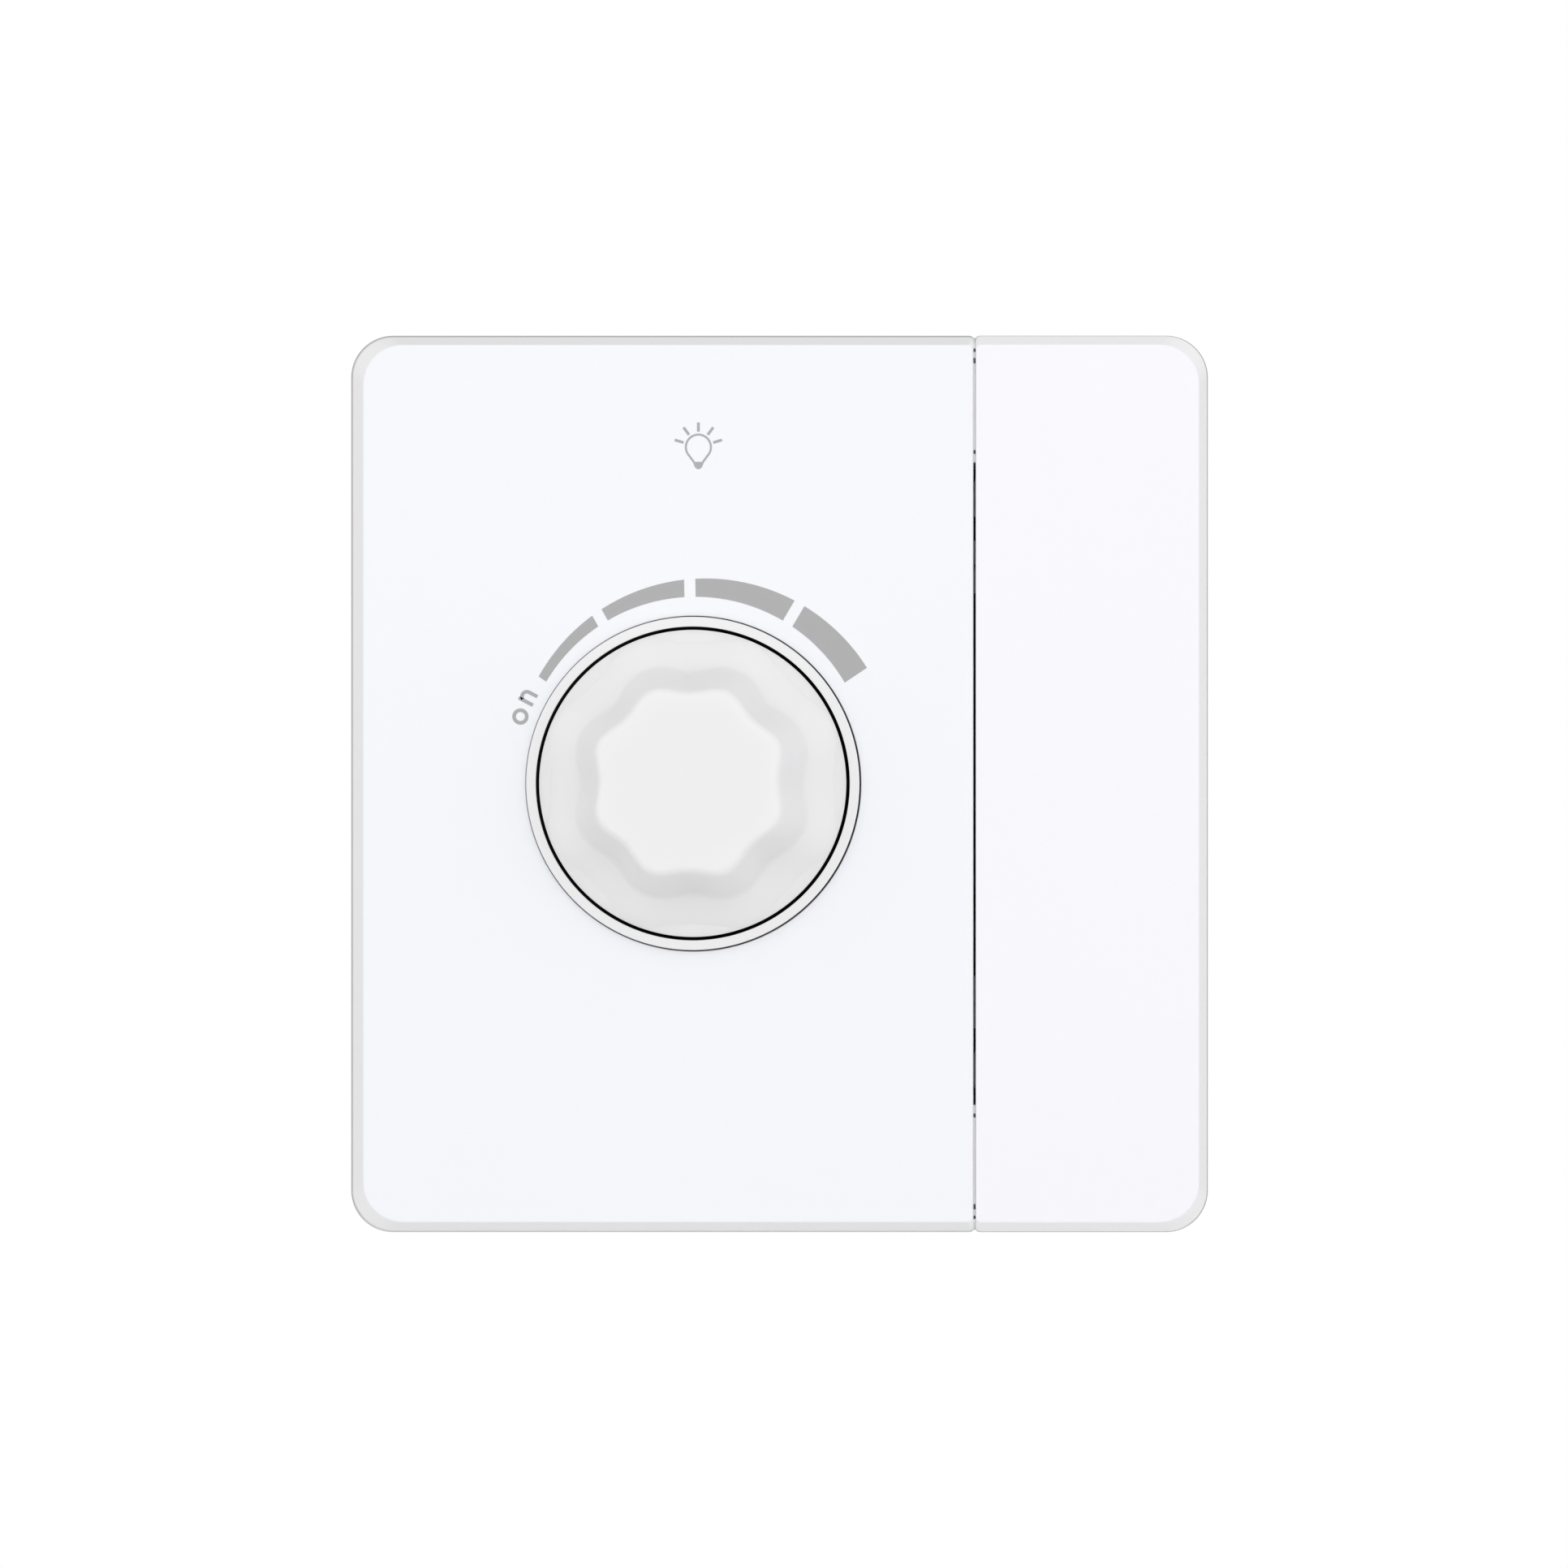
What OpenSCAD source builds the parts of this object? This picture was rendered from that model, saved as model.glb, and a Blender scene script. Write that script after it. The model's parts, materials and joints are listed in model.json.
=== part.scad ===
// Rotary lamp dimmer for a one-gang wall box: two snap-on covers over a mounting frame,
// with a fully cased dimmer module behind it. Millimetres.
// Every module is drawn lying on its back: x to the right, y up, z out of the wall,
// with z = 0 on the wall. on_wall() then stands it up, so that the front faces -Y.

/* [Plate] */
// Width of the covers
plate_w = 86; // [84:0.5:88]
// Height of the covers
plate_h = 90; // [88:0.5:92]
// Radius of the outer corners
corner_r = 4.2; // [3:0.1:6]
// Height of the front face above the wall
front_z = 9; // [8.5:0.1:10]
// Width of the wide bevel on the left edge
bevel_left = 1.5; // [1:0.02:1.7]
// Width of the bevel on the right edge
bevel_right = 1.14; // [0.8:0.02:1.4]
// Width of the bevel along the top and the bottom
bevel_end = 1.2; // [0.8:0.02:1.4]
// Depth of the bevels
bevel_drop = 1.6; // [1:0.05:1.8]
// Where the two covers meet, from the middle of the plate
split_x = 19.54; // [18.5:0.02:20.5]
// Gap between the two covers
split_gap = 0.16; // [0.12:0.02:0.3]

/* [Mounting frame] */
// How far the frame is set in from the covers' edge
frame_inset = 0.25; // [0.2:0.05:0.5]
// Height of the frame's rim above the wall
frame_z = 4; // [3.5:0.1:4]
// Thickness of the frame's web
web_t = 2; // [2:0.1:2.2]
// Distance between the two wall screws
screw_pitch = 60.3; // [60:0.1:61]

/* [Knob] */
// Middle of the knob, from the middle of the plate
knob_x = -8.55; // [-9.5:0.05:-8]
// Radius of the knob
knob_r = 15.3; // [15:0.02:15.5]
// Height of the knob's grip above the wall
knob_z = 18; // [17.5:0.1:19]
// Radial gap between the knob and its ring
knob_gap = 0.28; // [0.2:0.02:0.3]
// Outer radius of the ring round the knob
ring_r = 16.57; // [16.4:0.01:16.8]
// Number of finger scallops in the grip
scallops = 8; // [6:1:10]

/* [Module] */
// Width of the module's case
case_w = 45; // [44:0.5:45]
// Height of the module's case
case_h = 52; // [52:0.5:53]
// Depth of the module's case behind the wall
case_d = 24; // [24:0.5:27]
// Distance between neighbouring wire terminals
terminal_pitch = 12; // [11:0.5:12.5]
// Radius of the terminals' wire bores
wire_r = 1.9; // [1.6:0.1:2]

/* [Hidden] */

$fn = 64;
eps = 0.01;      // a cut's overrun where two faces would coincide
slip = 0.05;     // radial clearance of a running or sliding fit
thread_play = 0.02; // radial clearance that stands for a thread's engagement

skin_t = 2;                          // thickness of a cover's face
skirt_t = 1.6;                       // thickness of a cover's skirt and of the frame's rim
skirt_z = frame_z + 0.15;            // lower edge of a cover's skirt
skin_z = front_z - skin_t;           // back of a cover's face
left_x = -plate_w / 2;
right_x = plate_w / 2;
top_y = plate_h / 2;
end_r = 0.35;                        // radius of a cover's corners beside the split
split_edge = 0.12;                   // narrow bevel beside the split

rib_half = 1.3;                      // half width of the ribs under the split
rib_z = skin_z - 0.15;               // top of those ribs
slot_half_h = 32.2;                  // half height of the open slot between the two covers
land_sink = 0.2;                     // how far the spacing lands lie below the covers' face
land_play = 0.02;                    // gap between a land and the other cover
land_end = top_y - frame_inset;
pits = [[33.4, 0.4], [42.6, 0.55], [43.6, 0.35]]; // place and length of each gap in a land

peg_r = 1.55;                        // locating pegs under the covers
socket_r = 2.7;
socket_z = 5.5;                      // top of the frame's peg sockets
peg_y = 38;
peg_left = [left_x + 5, split_x - 5.2];
peg_right = [split_x + 5.4, right_x - 4.6];

sink_w = 52;                         // heat sink plate
sink_h = 64;
sink_z = web_t;                      // its back face
sink_t = 1.5;
sink_top = sink_z + sink_t;
frame_screw = [22, 29];              // countersunk screws, heat sink to frame
case_screw = [18.6, 22.1];           // countersunk screws, heat sink to case
m3_r = 1.5;
csk_r = 2.9;                         // countersunk head
csk_h = 1.4;

case_wall = 1.8;
case_back = -case_d;
case_floor = case_back + case_wall;
boss_r = 2.6;
vent_pitch = 4.4;                    // cooling slots in the case
vent_half = 0.8;
vent_top = [-10, -3];                // how deep the slots in its top wall lie
vent_back = [2, 16];                 // how high the slots in its back wall lie
board_post = [10, 22.6];             // posts under the board, above
board_post_low = [terminal_pitch / 2, -22.8]; // and between the terminals

board = [20.4, 23.9];                // half width and half height of the circuit board
board_t = 1.6;
board_top = -12;
board_back = board_top - board_t;
pin_r = 0.4;                         // soldered pins
pad_r = 0.45;                        // their holes in the board
pin_out = 0.8;                       // how far they stick out behind it

ring_in = knob_r + knob_gap;
ring_top = front_z + 1;
ring_flange = 1;                     // how far the ring's foot flange stands out
ring_peg = 16.9;                     // radius of the circle of the ring's three pegs
ring_peg_r = 0.8;
ring_reveal = 0.17;                  // hairline gap between the ring and the cover

bushing_r = 3.5;
bushing_top = 8;
shaft_r = 3;
pot_r = 8.4;
pot_wall = 0.8;
pot_back = -5;                       // back of the potentiometer's front section
pot_pins_x = [-5, 0, 5];
pot_pins_y = -11;
nut_flats = 10;
track_t = 1.1;
track_back = pot_back - track_t;
track_r = [5.2, 6.8];                // inner and outer radius of the resistive track
contact = [1.9, 11];                 // each fixed contact's place, from the shaft's axis
lever_y = 8.3;                       // pivot of the switch lever, from the shaft's axis
lever_swing = 12;                    // lever's angle either side of its middle
lever_pin_r = 0.8;

rim_z = ring_top + 0.1;              // flat rim of the knob
hub_r = 5;
hub_top = knob_z - 2.4;              // roof of the hollow round the hub
bore_top = knob_z - 3;               // end of the shaft's bore
rim_in = knob_r - 1.4;
rim_foot = 6;
grip_foot = [11.8, rim_z + 1.3];     // radius and height where the grip rises from the skirt
grip_head_r = 9.35;                  // radius of the grip's top face
scallop_r = 5;
scallop_run = [-12, 3];              // the scallop cutter's ends along its own axis
scallop_depth = [0.5, 0.9];          // how deep the scallops are at the grip's foot and at its top
scallop_lean = atan((grip_foot[0] - scallop_depth[0] - grip_head_r + scallop_depth[1])
                    / (knob_z - grip_foot[1]));

screw_x = screw_pitch / 2;
wall_shank_r = 1.75;                 // over the thread
wall_neck_r = 1.55;                  // plain neck between the thread and the head
wall_seat_z = 3.5;                   // the face that the wall screws' heads sit on
wall_tip_z = wall_seat_z - 25;
wall_head_r = 3.4;
wall_head_h = 1.4;                   // straight part of the head
wall_dome_h = 0.7;                   // and the cone above it

clamp = 8;                           // edge of a terminal block
clamp_y = -case_h / 2 + case_wall + 0.2 + clamp / 2;
clamp_top = board_back - 0.3;
wire_z = clamp_top - 3.6;
driver_r = 2.7;                      // screwdriver holes behind the terminals

triac_x = 11;
triac_y = 3.5;                       // lower edge of the triac's body
triac_w = 10;
triac_hole_y = 16;
triac_leads = [-2.54, 0, 2.54];
triac_lead_y = 1.6;
triac_tab_z = 0.5;                   // back of the tab
triac_pad_z = 1.8;                   // its front, on the silicone pad
choke = [11, -12.5];
choke_mean = 6;                      // mean radius of the core
choke_z = -7.9;                      // middle of the choke's height
choke_core = [4.4, 5];               // width and height of the core's section
choke_wire = 0.7;                    // thickness of the winding round it
film_x = [-15.8, 1];
film_y = [13.2, 20.2];
timing_x = [10, 17.2];
timing_y = [3.2, 7.2];
timing_half = 1.25;
resistor_x = 14;
resistor_y = [10.6, 13.6, 16.6];
diac_y = 19.4;
lead_r = 0.3;
fuse = [4.4, 10.5, -8.9];
fuse_half = 7;                       // half length of the glass between the caps
fuse_cap_r = 2.6;
fuse_cap_l = 3;
clip_y = [2.4, 18.6];
clip_half = [3.2, 1.3];

module on_wall() rotate([90, 0, 0]) children();

// A copy on each side: left and right, or in all four quarters
module both_x(x) for (s = [-1, 1]) translate([s * x, 0, 0]) children();
module four(p) for (sx = [-1, 1], sy = [-1, 1]) translate([sx * p[0], sy * p[1], 0]) children();
module at_knob() translate([knob_x, 0, 0]) children();
module at_ring_pegs() for (a = [90, 210, 330]) rotate(a) translate([ring_peg, 0, 0]) children();
module at_pot_pins() for (x = pot_pins_x) translate([x, pot_pins_y, 0]) children();
module at_terminals() for (i = [-1:1]) translate([i * terminal_pitch, clamp_y, 0]) children();

module tube(r_out, r_in, z0, z1) difference() {
    translate([0, 0, z0]) cylinder(r = r_out, h = z1 - z0);
    translate([0, 0, z0 - 1]) cylinder(r = r_in, h = z1 - z0 + 2);
}

module rod(r, z0, z1) translate([0, 0, z0]) cylinder(r = r, h = z1 - z0);

module block(x0, x1, y0, y1, z0, z1) translate([x0, y0, z0]) cube([x1 - x0, y1 - y0, z1 - z0]);

// Rectangle with its own radius on the left and on the right corners
module panel(x0, x1, y, r_left, r_right) {
    translate([x0 + r_left, -y]) square([x1 - x0 - r_left - r_right, 2 * y]);
    translate([x0, -y + r_left]) square([r_left + eps, 2 * (y - r_left)]);
    translate([x1 - r_right - eps, -y + r_right]) square([r_right + eps, 2 * (y - r_right)]);
    for (s = [-1, 1]) {
        translate([x0 + r_left, s * (y - r_left)]) circle(r_left);
        translate([x1 - r_right, s * (y - r_right)]) circle(r_right);
    }
}

module plate(x0, x1, y, r, z0, z1) translate([0, 0, z0]) linear_extrude(z1 - z0) panel(x0, x1, y, r, r);

// Countersunk screw with its flat head flush at z_top and its point at z_tip
module countersunk(z_top, z_tip) difference() {
    union() {
        translate([0, 0, z_top - csk_h]) cylinder(r1 = m3_r, r2 = csk_r, h = csk_h);
        rod(m3_r, z_tip + 1, z_top - csk_h + eps);
        translate([0, 0, z_tip]) cylinder(r1 = 0.6, r2 = m3_r, h = 1 + eps);
    }
    cross_recess(z_top, 1.5, 1);
}

module countersunk_hole(z_top, z_tip) {
    translate([0, 0, z_top - csk_h]) cylinder(r1 = m3_r + 0.1, r2 = csk_r + 0.1, h = csk_h + eps);
    rod(m3_r + 0.1, z_tip, z_top - csk_h + 0.1);
}

module cross_recess(z_top, reach, depth) {
    block(-reach, reach, -0.3, 0.3, z_top - depth, z_top + 1);
    block(-0.3, 0.3, -reach, reach, z_top - depth, z_top + 1);
}

// A cover's bevelled face and skirt, before anything is cut from it
module cover_shell(x0, x1, r_left, r_right, in_left, in_right) {
    bevel_z = front_z - bevel_drop;
    translate([0, 0, skirt_z]) linear_extrude(bevel_z - skirt_z) panel(x0, x1, top_y, r_left, r_right);
    hull($fn = 32) {
        translate([0, 0, bevel_z - 0.1]) linear_extrude(0.1) panel(x0, x1, top_y, r_left, r_right);
        translate([0, 0, front_z - 0.02]) linear_extrude(0.02)
            panel(x0 + in_left, x1 - in_right, top_y - bevel_end, r_left, r_right);
    }
}

module cover_pegs(xs) for (x = xs, s = [-1, 1]) translate([x, s * peg_y, 0]) rod(peg_r, 3.2, skin_z + 0.5);

module front_cover() on_wall() color("white") {
    x1 = split_x - split_gap / 2;
    difference() {
        cover_shell(left_x, x1, corner_r, end_r, bevel_left, split_edge);
        plate(left_x + skirt_t, x1 + 2, top_y - skirt_t, 2.6, skirt_z - 1, skin_z);
        block(split_x - rib_half - 0.3, split_x + 1, -top_y - 1, top_y + 1, skirt_z - 1, skin_z);
        at_knob() rod(ring_r + ring_reveal, 0, front_z + 1);
    }
    cover_pegs(peg_left);
    translate([x1 - eps, 0, 0]) {
        split_land();
        mirror([0, 1, 0]) split_land();
    }
}

// Thin land that keeps the covers apart along one end of the split, with its gaps
module split_land() difference() {
    rotate([90, 0, 90]) linear_extrude(split_gap - land_play + eps) polygon([
        [slot_half_h, skin_z], [land_end, skin_z], [land_end, front_z - bevel_drop + 0.1],
        [top_y - bevel_end - 0.1, front_z - land_sink], [slot_half_h, front_z - land_sink]
    ]);
    for (p = pits) block(eps, 1, p[0] - p[1] / 2, p[0] + p[1] / 2, skin_z - 1, front_z);
}

module side_cover() on_wall() color("white") {
    x0 = split_x + split_gap / 2;
    difference() {
        cover_shell(x0, right_x, end_r, corner_r, split_edge, bevel_right);
        plate(x0 - 2, right_x - skirt_t, top_y - skirt_t, 2.6, skirt_z - 1, skin_z);
        block(split_x - 1, split_x + rib_half + 0.3, -top_y - 1, top_y + 1, skirt_z - 1, skin_z);
    }
    cover_pegs(peg_right);
}

module mounting_frame() on_wall() color("gainsboro") {
    x = right_x - frame_inset;
    y = top_y - frame_inset;
    r = corner_r - frame_inset;
    difference() {
        union() {
            plate(-x, x, y, r, 0, web_t);
            difference() {
                plate(-x, x, y, r, web_t - eps, frame_z);
                plate(-x + skirt_t, x - skirt_t, y - skirt_t, r - 1, web_t - 1, frame_z + 1);
            }
            both_x(screw_x) rod(4, web_t - eps, wall_seat_z);
            for (px = concat(peg_left, peg_right), s = [-1, 1])
                translate([px, s * peg_y, 0]) rod(socket_r, web_t - eps, socket_z);
            for (s = [-1, 1]) translate([split_x, s * (slot_half_h + y) / 2, 0])
                block(-rib_half, rib_half, (slot_half_h - y) / 2, (y - slot_half_h) / 2, web_t - eps, rib_z);
        }
        block(-case_w / 2 - 0.3, case_w / 2 + 0.3, -case_h / 2 - 0.3, case_h / 2 + 0.3, -1, web_t + 1);
        both_x(screw_x) rod(wall_shank_r + 0.25, -1, wall_seat_z + 1);
        for (px = concat(peg_left, peg_right), s = [-1, 1])
            translate([px, s * peg_y, 0]) rod(peg_r + slip, web_t + 0.5, socket_z + 1);
        four(frame_screw) rod(m3_r + thread_play, -1, web_t + 1);
    }
}

module knob_ring() on_wall() color("whitesmoke") at_knob() {
    difference() {
        union() {
            rod(ring_r, sink_top, ring_top);
            rod(ring_r + ring_flange, sink_top, sink_top + 1.1);
        }
        rod(ring_in, 0, ring_top + 1);
    }
    at_ring_pegs() rod(ring_peg_r, sink_z + 0.1, sink_top + 0.5);
}

module heat_sink() on_wall() color("dimgray") difference() {
    plate(-sink_w / 2, sink_w / 2, sink_h / 2, 1, sink_z, sink_top);
    four(frame_screw) countersunk_hole(sink_top, 0);
    four(case_screw) countersunk_hole(sink_top, 0);
    at_knob() rod(bushing_r + 0.1, 0, sink_top + 1);
    at_knob() at_ring_pegs() rod(ring_peg_r + thread_play, 0, sink_top + 1);
    translate([triac_x, triac_hole_y, 0]) rod(m3_r + 0.1, 0, sink_top + 1);
}

module wall_screws() on_wall() color("silver") both_x(screw_x) difference() {
    union() {
        rod(wall_head_r, wall_seat_z, wall_seat_z + wall_head_h);
        translate([0, 0, wall_seat_z + wall_head_h]) cylinder(r1 = wall_head_r, r2 = 2.2, h = wall_dome_h);
        rod(wall_neck_r, -eps, wall_seat_z + eps);
        rod(wall_shank_r, wall_tip_z + 1, 0);
        translate([0, 0, wall_tip_z]) cylinder(r1 = 1, r2 = wall_shank_r, h = 1 + eps);
    }
    cross_recess(wall_seat_z + wall_head_h + wall_dome_h, 1.9, 1.5);
}

module frame_screws() on_wall() color("silver") four(frame_screw) countersunk(sink_top, 0.2);

module case_screws() on_wall() color("silver") four(case_screw) countersunk(sink_top, -6.5);

module module_case() on_wall() color("gainsboro") {
    x = case_w / 2;
    y = case_h / 2;
    difference() {
        union() {
            difference() {
                plate(-x, x, y, 2, case_back, sink_z);
                plate(-x + case_wall, x - case_wall, y - case_wall, 0.8, case_floor, sink_z + 1);
            }
            intersection() {
                four(case_screw) rod(boss_r, case_floor - eps, sink_z);
                plate(-x, x, y, 2, case_back, sink_z);
            }
            both_x(board_post[0]) translate([0, board_post[1], 0]) rod(1.8, case_floor - eps, board_back);
            both_x(board_post_low[0]) translate([0, board_post_low[1], 0])
                rod(1.3, case_floor - eps, board_back);
        }
        four(case_screw) rod(m3_r + thread_play, -8, sink_z + 1);
        at_terminals() rod(driver_r, case_back - 1, case_floor + 1);
        for (i = [-1:1]) translate([i * terminal_pitch, 0, wire_z])
            rotate([90, 0, 0]) rod(wire_r + 0.5, y - case_wall - 0.5, y + 1);
        for (i = [-2:2]) vent(i, [y - case_wall - 1, y + 1], vent_top);
        for (i = [-3:3]) vent(i, vent_back, [case_back - 1, case_floor + 1]);
    }
}

module vent(i, y, z)
    block(i * vent_pitch - vent_half, i * vent_pitch + vent_half, y[0], y[1], z[0], z[1]);

module circuit_board() on_wall() color("darkgreen") difference() {
    plate(-board[0], board[0], board[1], 0.5, board_back, board_top);
    four(case_screw) rod(boss_r + 0.3, board_back - 1, board_top + 1);
    at_knob() at_pot_pins() rod(pad_r, board_back - 1, board_top + 1);
    at_knob() both_x(contact[0]) translate([0, contact[1], 0]) rod(pad_r, board_back - 1, board_top + 1);
    at_terminals() both_x(2.5) rod(0.65, board_back - 1, board_top + 1);
    for (x = triac_leads) translate([triac_x + x, triac_lead_y, 0]) rod(0.55, board_back - 1, board_top + 1);
}

module pot_housing() on_wall() color("steelblue") at_knob() {
    tube(pot_r, pot_r - pot_wall, pot_back, sink_z - 1);
    tube(pot_r, bushing_r, sink_z - 1, sink_z);
}

module pot_bushing() on_wall() color("goldenrod") at_knob() {
    tube(bushing_r, shaft_r + slip, sink_z - 1, bushing_top);
    tube(bushing_r + 1.5, shaft_r + slip, sink_z - 1.6, sink_z - 1);
}

module pot_washer() on_wall() color("silver") at_knob() tube(5.6, bushing_r + 0.1, sink_top, sink_top + 0.5);

module pot_nut() on_wall() color("silver") at_knob() difference() {
    translate([0, 0, sink_top + 0.5]) cylinder(r = nut_flats / 2 / cos(30), h = 2, $fn = 6);
    rod(bushing_r + thread_play, 0, sink_top + 4);
}

module track_board() on_wall() color("saddlebrown") at_knob() difference() {
    union() {
        rod(pot_r, track_back, pot_back);
        block(-7, 7, -12.4, 0, track_back, pot_back);
    }
    rod(shaft_r + 0.3, track_back - 1, pot_back + 1);
    at_pot_pins() rod(pin_r + thread_play, track_back - 1, pot_back + 1);
}

module resistive_track() on_wall() color("black") at_knob() rotate(130)
    rotate_extrude(angle = 280) translate([track_r[0], pot_back]) square([track_r[1] - track_r[0], 0.12]);

module pot_pins() on_wall() color("silver") at_knob() at_pot_pins()
    rod(pin_r, board_back - pin_out, pot_back + 0.6);

module switch_case() on_wall() color("black") at_knob() {
    difference() {
        union() {
            rod(pot_r, board_top, track_back);
            block(-5.5, 5.5, 0, 12.6, board_top, track_back);
        }
        rod(pot_r - pot_wall, board_top + pot_wall, track_back + 1);
        block(-4.7, 4.7, 0, 11.8, board_top + pot_wall, track_back + 1);
        both_x(contact[0]) translate([0, contact[1], 0]) rod(pin_r + thread_play, board_top - 1, board_top + 2);
    }
    translate([0, lever_y, 0]) rod(lever_pin_r, board_top + 0.7, track_back - 0.1);
}

module fixed_contacts() on_wall() color("goldenrod") at_knob() for (s = [-1, 1]) {
    translate([s * contact[0], contact[1], 0]) {
        rod(pin_r, board_back - pin_out, board_top + 1);
        block(-0.5, 0.5, -0.6, 0.6, board_top + 0.85, track_back - 0.6);
    }
}

module switch_lever() on_wall() color("ivory") at_knob() translate([0, lever_y, 0]) rotate(lever_swing) {
    difference() {
        union() {
            rod(1.7, board_top + 1, track_back - 0.3);
            block(-0.5, 0.5, -2.5, 2.7, board_top + 1.4, track_back - 0.7);
        }
        rod(lever_pin_r + slip, board_top - 1, track_back + 1);
    }
}

module lever_contact() on_wall() color("goldenrod") at_knob() translate([0, lever_y, 0]) rotate(lever_swing)
    block(-0.5, 0.5, 2.7, 3.2, board_top + 1.6, track_back - 0.9);

module triac_body() on_wall() color("black")
    block(triac_x - triac_w / 2, triac_x + triac_w / 2, triac_y, triac_y + 9, -2.6, triac_tab_z);

module triac_tab() on_wall() color("silver") {
    difference() {
        block(triac_x - triac_w / 2, triac_x + triac_w / 2, triac_y, triac_y + 15.5,
              triac_tab_z, triac_pad_z);
        translate([triac_x, triac_hole_y, 0]) rod(1.8, 0, 2);
    }
    for (x = triac_leads) translate([triac_x + x, triac_lead_y - 0.25, 0]) {
        block(-0.4, 0.4, 0, triac_y - triac_lead_y + 0.25, -1.2, -0.7);
        block(-0.4, 0.4, 0, 0.5, board_back - pin_out, -0.7);
    }
}

module triac_pad() on_wall() color("lightgray") difference() {
    block(triac_x - 6, triac_x + 6, triac_y - 0.5, triac_y + 16, triac_pad_z, sink_z);
    translate([triac_x, triac_hole_y, 0]) rod(1.7, 1, 3);
}

module triac_screw() on_wall() color("silver") translate([triac_x, triac_hole_y, 0]) difference() {
    union() {
        rod(2.75, sink_top, sink_top + 1.5);
        rod(m3_r, -2.6, sink_top + eps);
    }
    cross_recess(sink_top + 1.5, 1.5, 1.1);
}

module triac_nut() on_wall() color("silver") translate([triac_x, triac_hole_y, 0]) difference() {
    translate([0, 0, -1.9]) cylinder(r = 3.17, h = 2.4, $fn = 6);
    rod(m3_r + thread_play, -3, 2);
}

module choke_section(grow) translate([choke_mean, choke_z])
    square([choke_core[0] + 2 * grow, choke_core[1] + 2 * grow], center = true);

module choke_core() on_wall() color("dimgray") translate([choke[0], choke[1], 0])
    rotate_extrude() choke_section(0);

module choke_winding() on_wall() color("peru") translate([choke[0], choke[1], 0]) rotate(120)
    rotate_extrude(angle = 300) difference() {
        choke_section(choke_wire);
        choke_section(0);
    }

module mains_capacitor() on_wall() color("gold")
    block(film_x[0], film_x[1], film_y[0], film_y[1], board_top, 0);

module timing_capacitors() on_wall() color("darkorange") for (y = timing_y)
    block(timing_x[0], timing_x[1], y - timing_half, y + timing_half, board_top, -5.5);

// Axial part lying along x on the board, with its two bent leads
module axial(x, y, r, l) translate([x, y, board_top + r + 0.3]) {
    rotate([0, 90, 0]) rod(r, -l / 2, l / 2);
    rotate([0, 90, 0]) rod(lead_r, -l / 2 - 1.5, l / 2 + 1.5);
    both_x(l / 2 + 1.5) rod(lead_r, -r - 0.3, 0.3);
}

module resistors() on_wall() color("tan") for (y = resistor_y) axial(resistor_x, y, 1.2, 6.3);

module diac() on_wall() color("navy") axial(resistor_x, diac_y, 0.9, 4);

module along_fuse() translate(fuse) rotate([90, 0, 0]) children();

module fuse_tube() on_wall() color("lightcyan") along_fuse() rod(2.3, -fuse_half, fuse_half);

module fuse_caps() on_wall() color("silver") along_fuse() for (s = [0, 1]) mirror([0, 0, s])
    rod(fuse_cap_r, fuse_half, fuse_half + fuse_cap_l);

module fuse_clips() on_wall() color("silver") for (y = clip_y) difference() {
    translate([fuse[0], y, 0])
        block(-clip_half[0], clip_half[0], -clip_half[1], clip_half[1], board_top, -8);
    along_fuse() rod(fuse_cap_r + thread_play, -11, 11);
    translate([fuse[0], y, 0]) block(-2.3, 2.3, -2, 2, fuse[2], -7);
}

module terminal_clamps() on_wall() color("goldenrod") at_terminals() {
    difference() {
        block(-clamp / 2, clamp / 2, -clamp / 2, clamp / 2, clamp_top - clamp, clamp_top);
        translate([0, 0, wire_z]) rotate([90, 0, 0]) rod(wire_r, -clamp, clamp);
        rod(m3_r + thread_play, clamp_top - clamp - 1, wire_z);
    }
    both_x(2.5) rod(0.6, clamp_top - eps, board_top + 0.6);
}

module terminal_screws() on_wall() color("silver") at_terminals() difference() {
    union() {
        rod(2.3, clamp_top - clamp - 1.6, clamp_top - clamp);
        rod(m3_r, clamp_top - clamp - eps, wire_z - wire_r - 0.05);
    }
    block(-3, 3, -0.4, 0.4, clamp_top - clamp - 3, clamp_top - clamp - 0.8);
}

// Solid of the knob: flat rim, sloping skirt and tapered grip over a hollow underside
module knob_turned() rotate_extrude() polygon([
    [shaft_r, bushing_top + 0.3], [hub_r, bushing_top + 0.3], [hub_r, hub_top], [6.6, hub_top],
    [8.2, rim_z - 0.2], [rim_in, rim_z - 1.3], [rim_in, rim_foot], [knob_r, rim_foot], [knob_r, rim_z],
    [knob_r - 0.3, rim_z], grip_foot, [grip_head_r, knob_z], [0, knob_z], [0, bore_top],
    [shaft_r, bore_top]
]);

module knob_cap() on_wall() color("whitesmoke") at_knob() difference() {
    knob_turned();
    for (i = [0:scallops - 1]) rotate(i * 360 / scallops) intersection() {
        translate([grip_head_r - scallop_depth[1] + scallop_r / cos(scallop_lean), 0, knob_z])
            rotate([0, -scallop_lean, 0]) rod(scallop_r, scallop_run[0], scallop_run[1]);
        block(0, 20, -8, 8, grip_foot[1] - 0.4, knob_z + 1);
    }
}

module knob_clip() on_wall() color("silver") at_knob() rotate(100)
    rotate_extrude(angle = 320) translate([hub_r, 9.4]) square([0.5, 2]);

module pot_shaft() on_wall() color("silver") at_knob() difference() {
    rod(shaft_r, board_top + 1.3, knob_z - 3.2);
    block(-0.4, 0.4, -4, 4, knob_z - 8, knob_z);
}

module wiper_carrier() on_wall() color("ivory") at_knob() {
    tube(7.2, shaft_r, -3, -1);
    tube(4.4, shaft_r, -1, 0.2);
}

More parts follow.
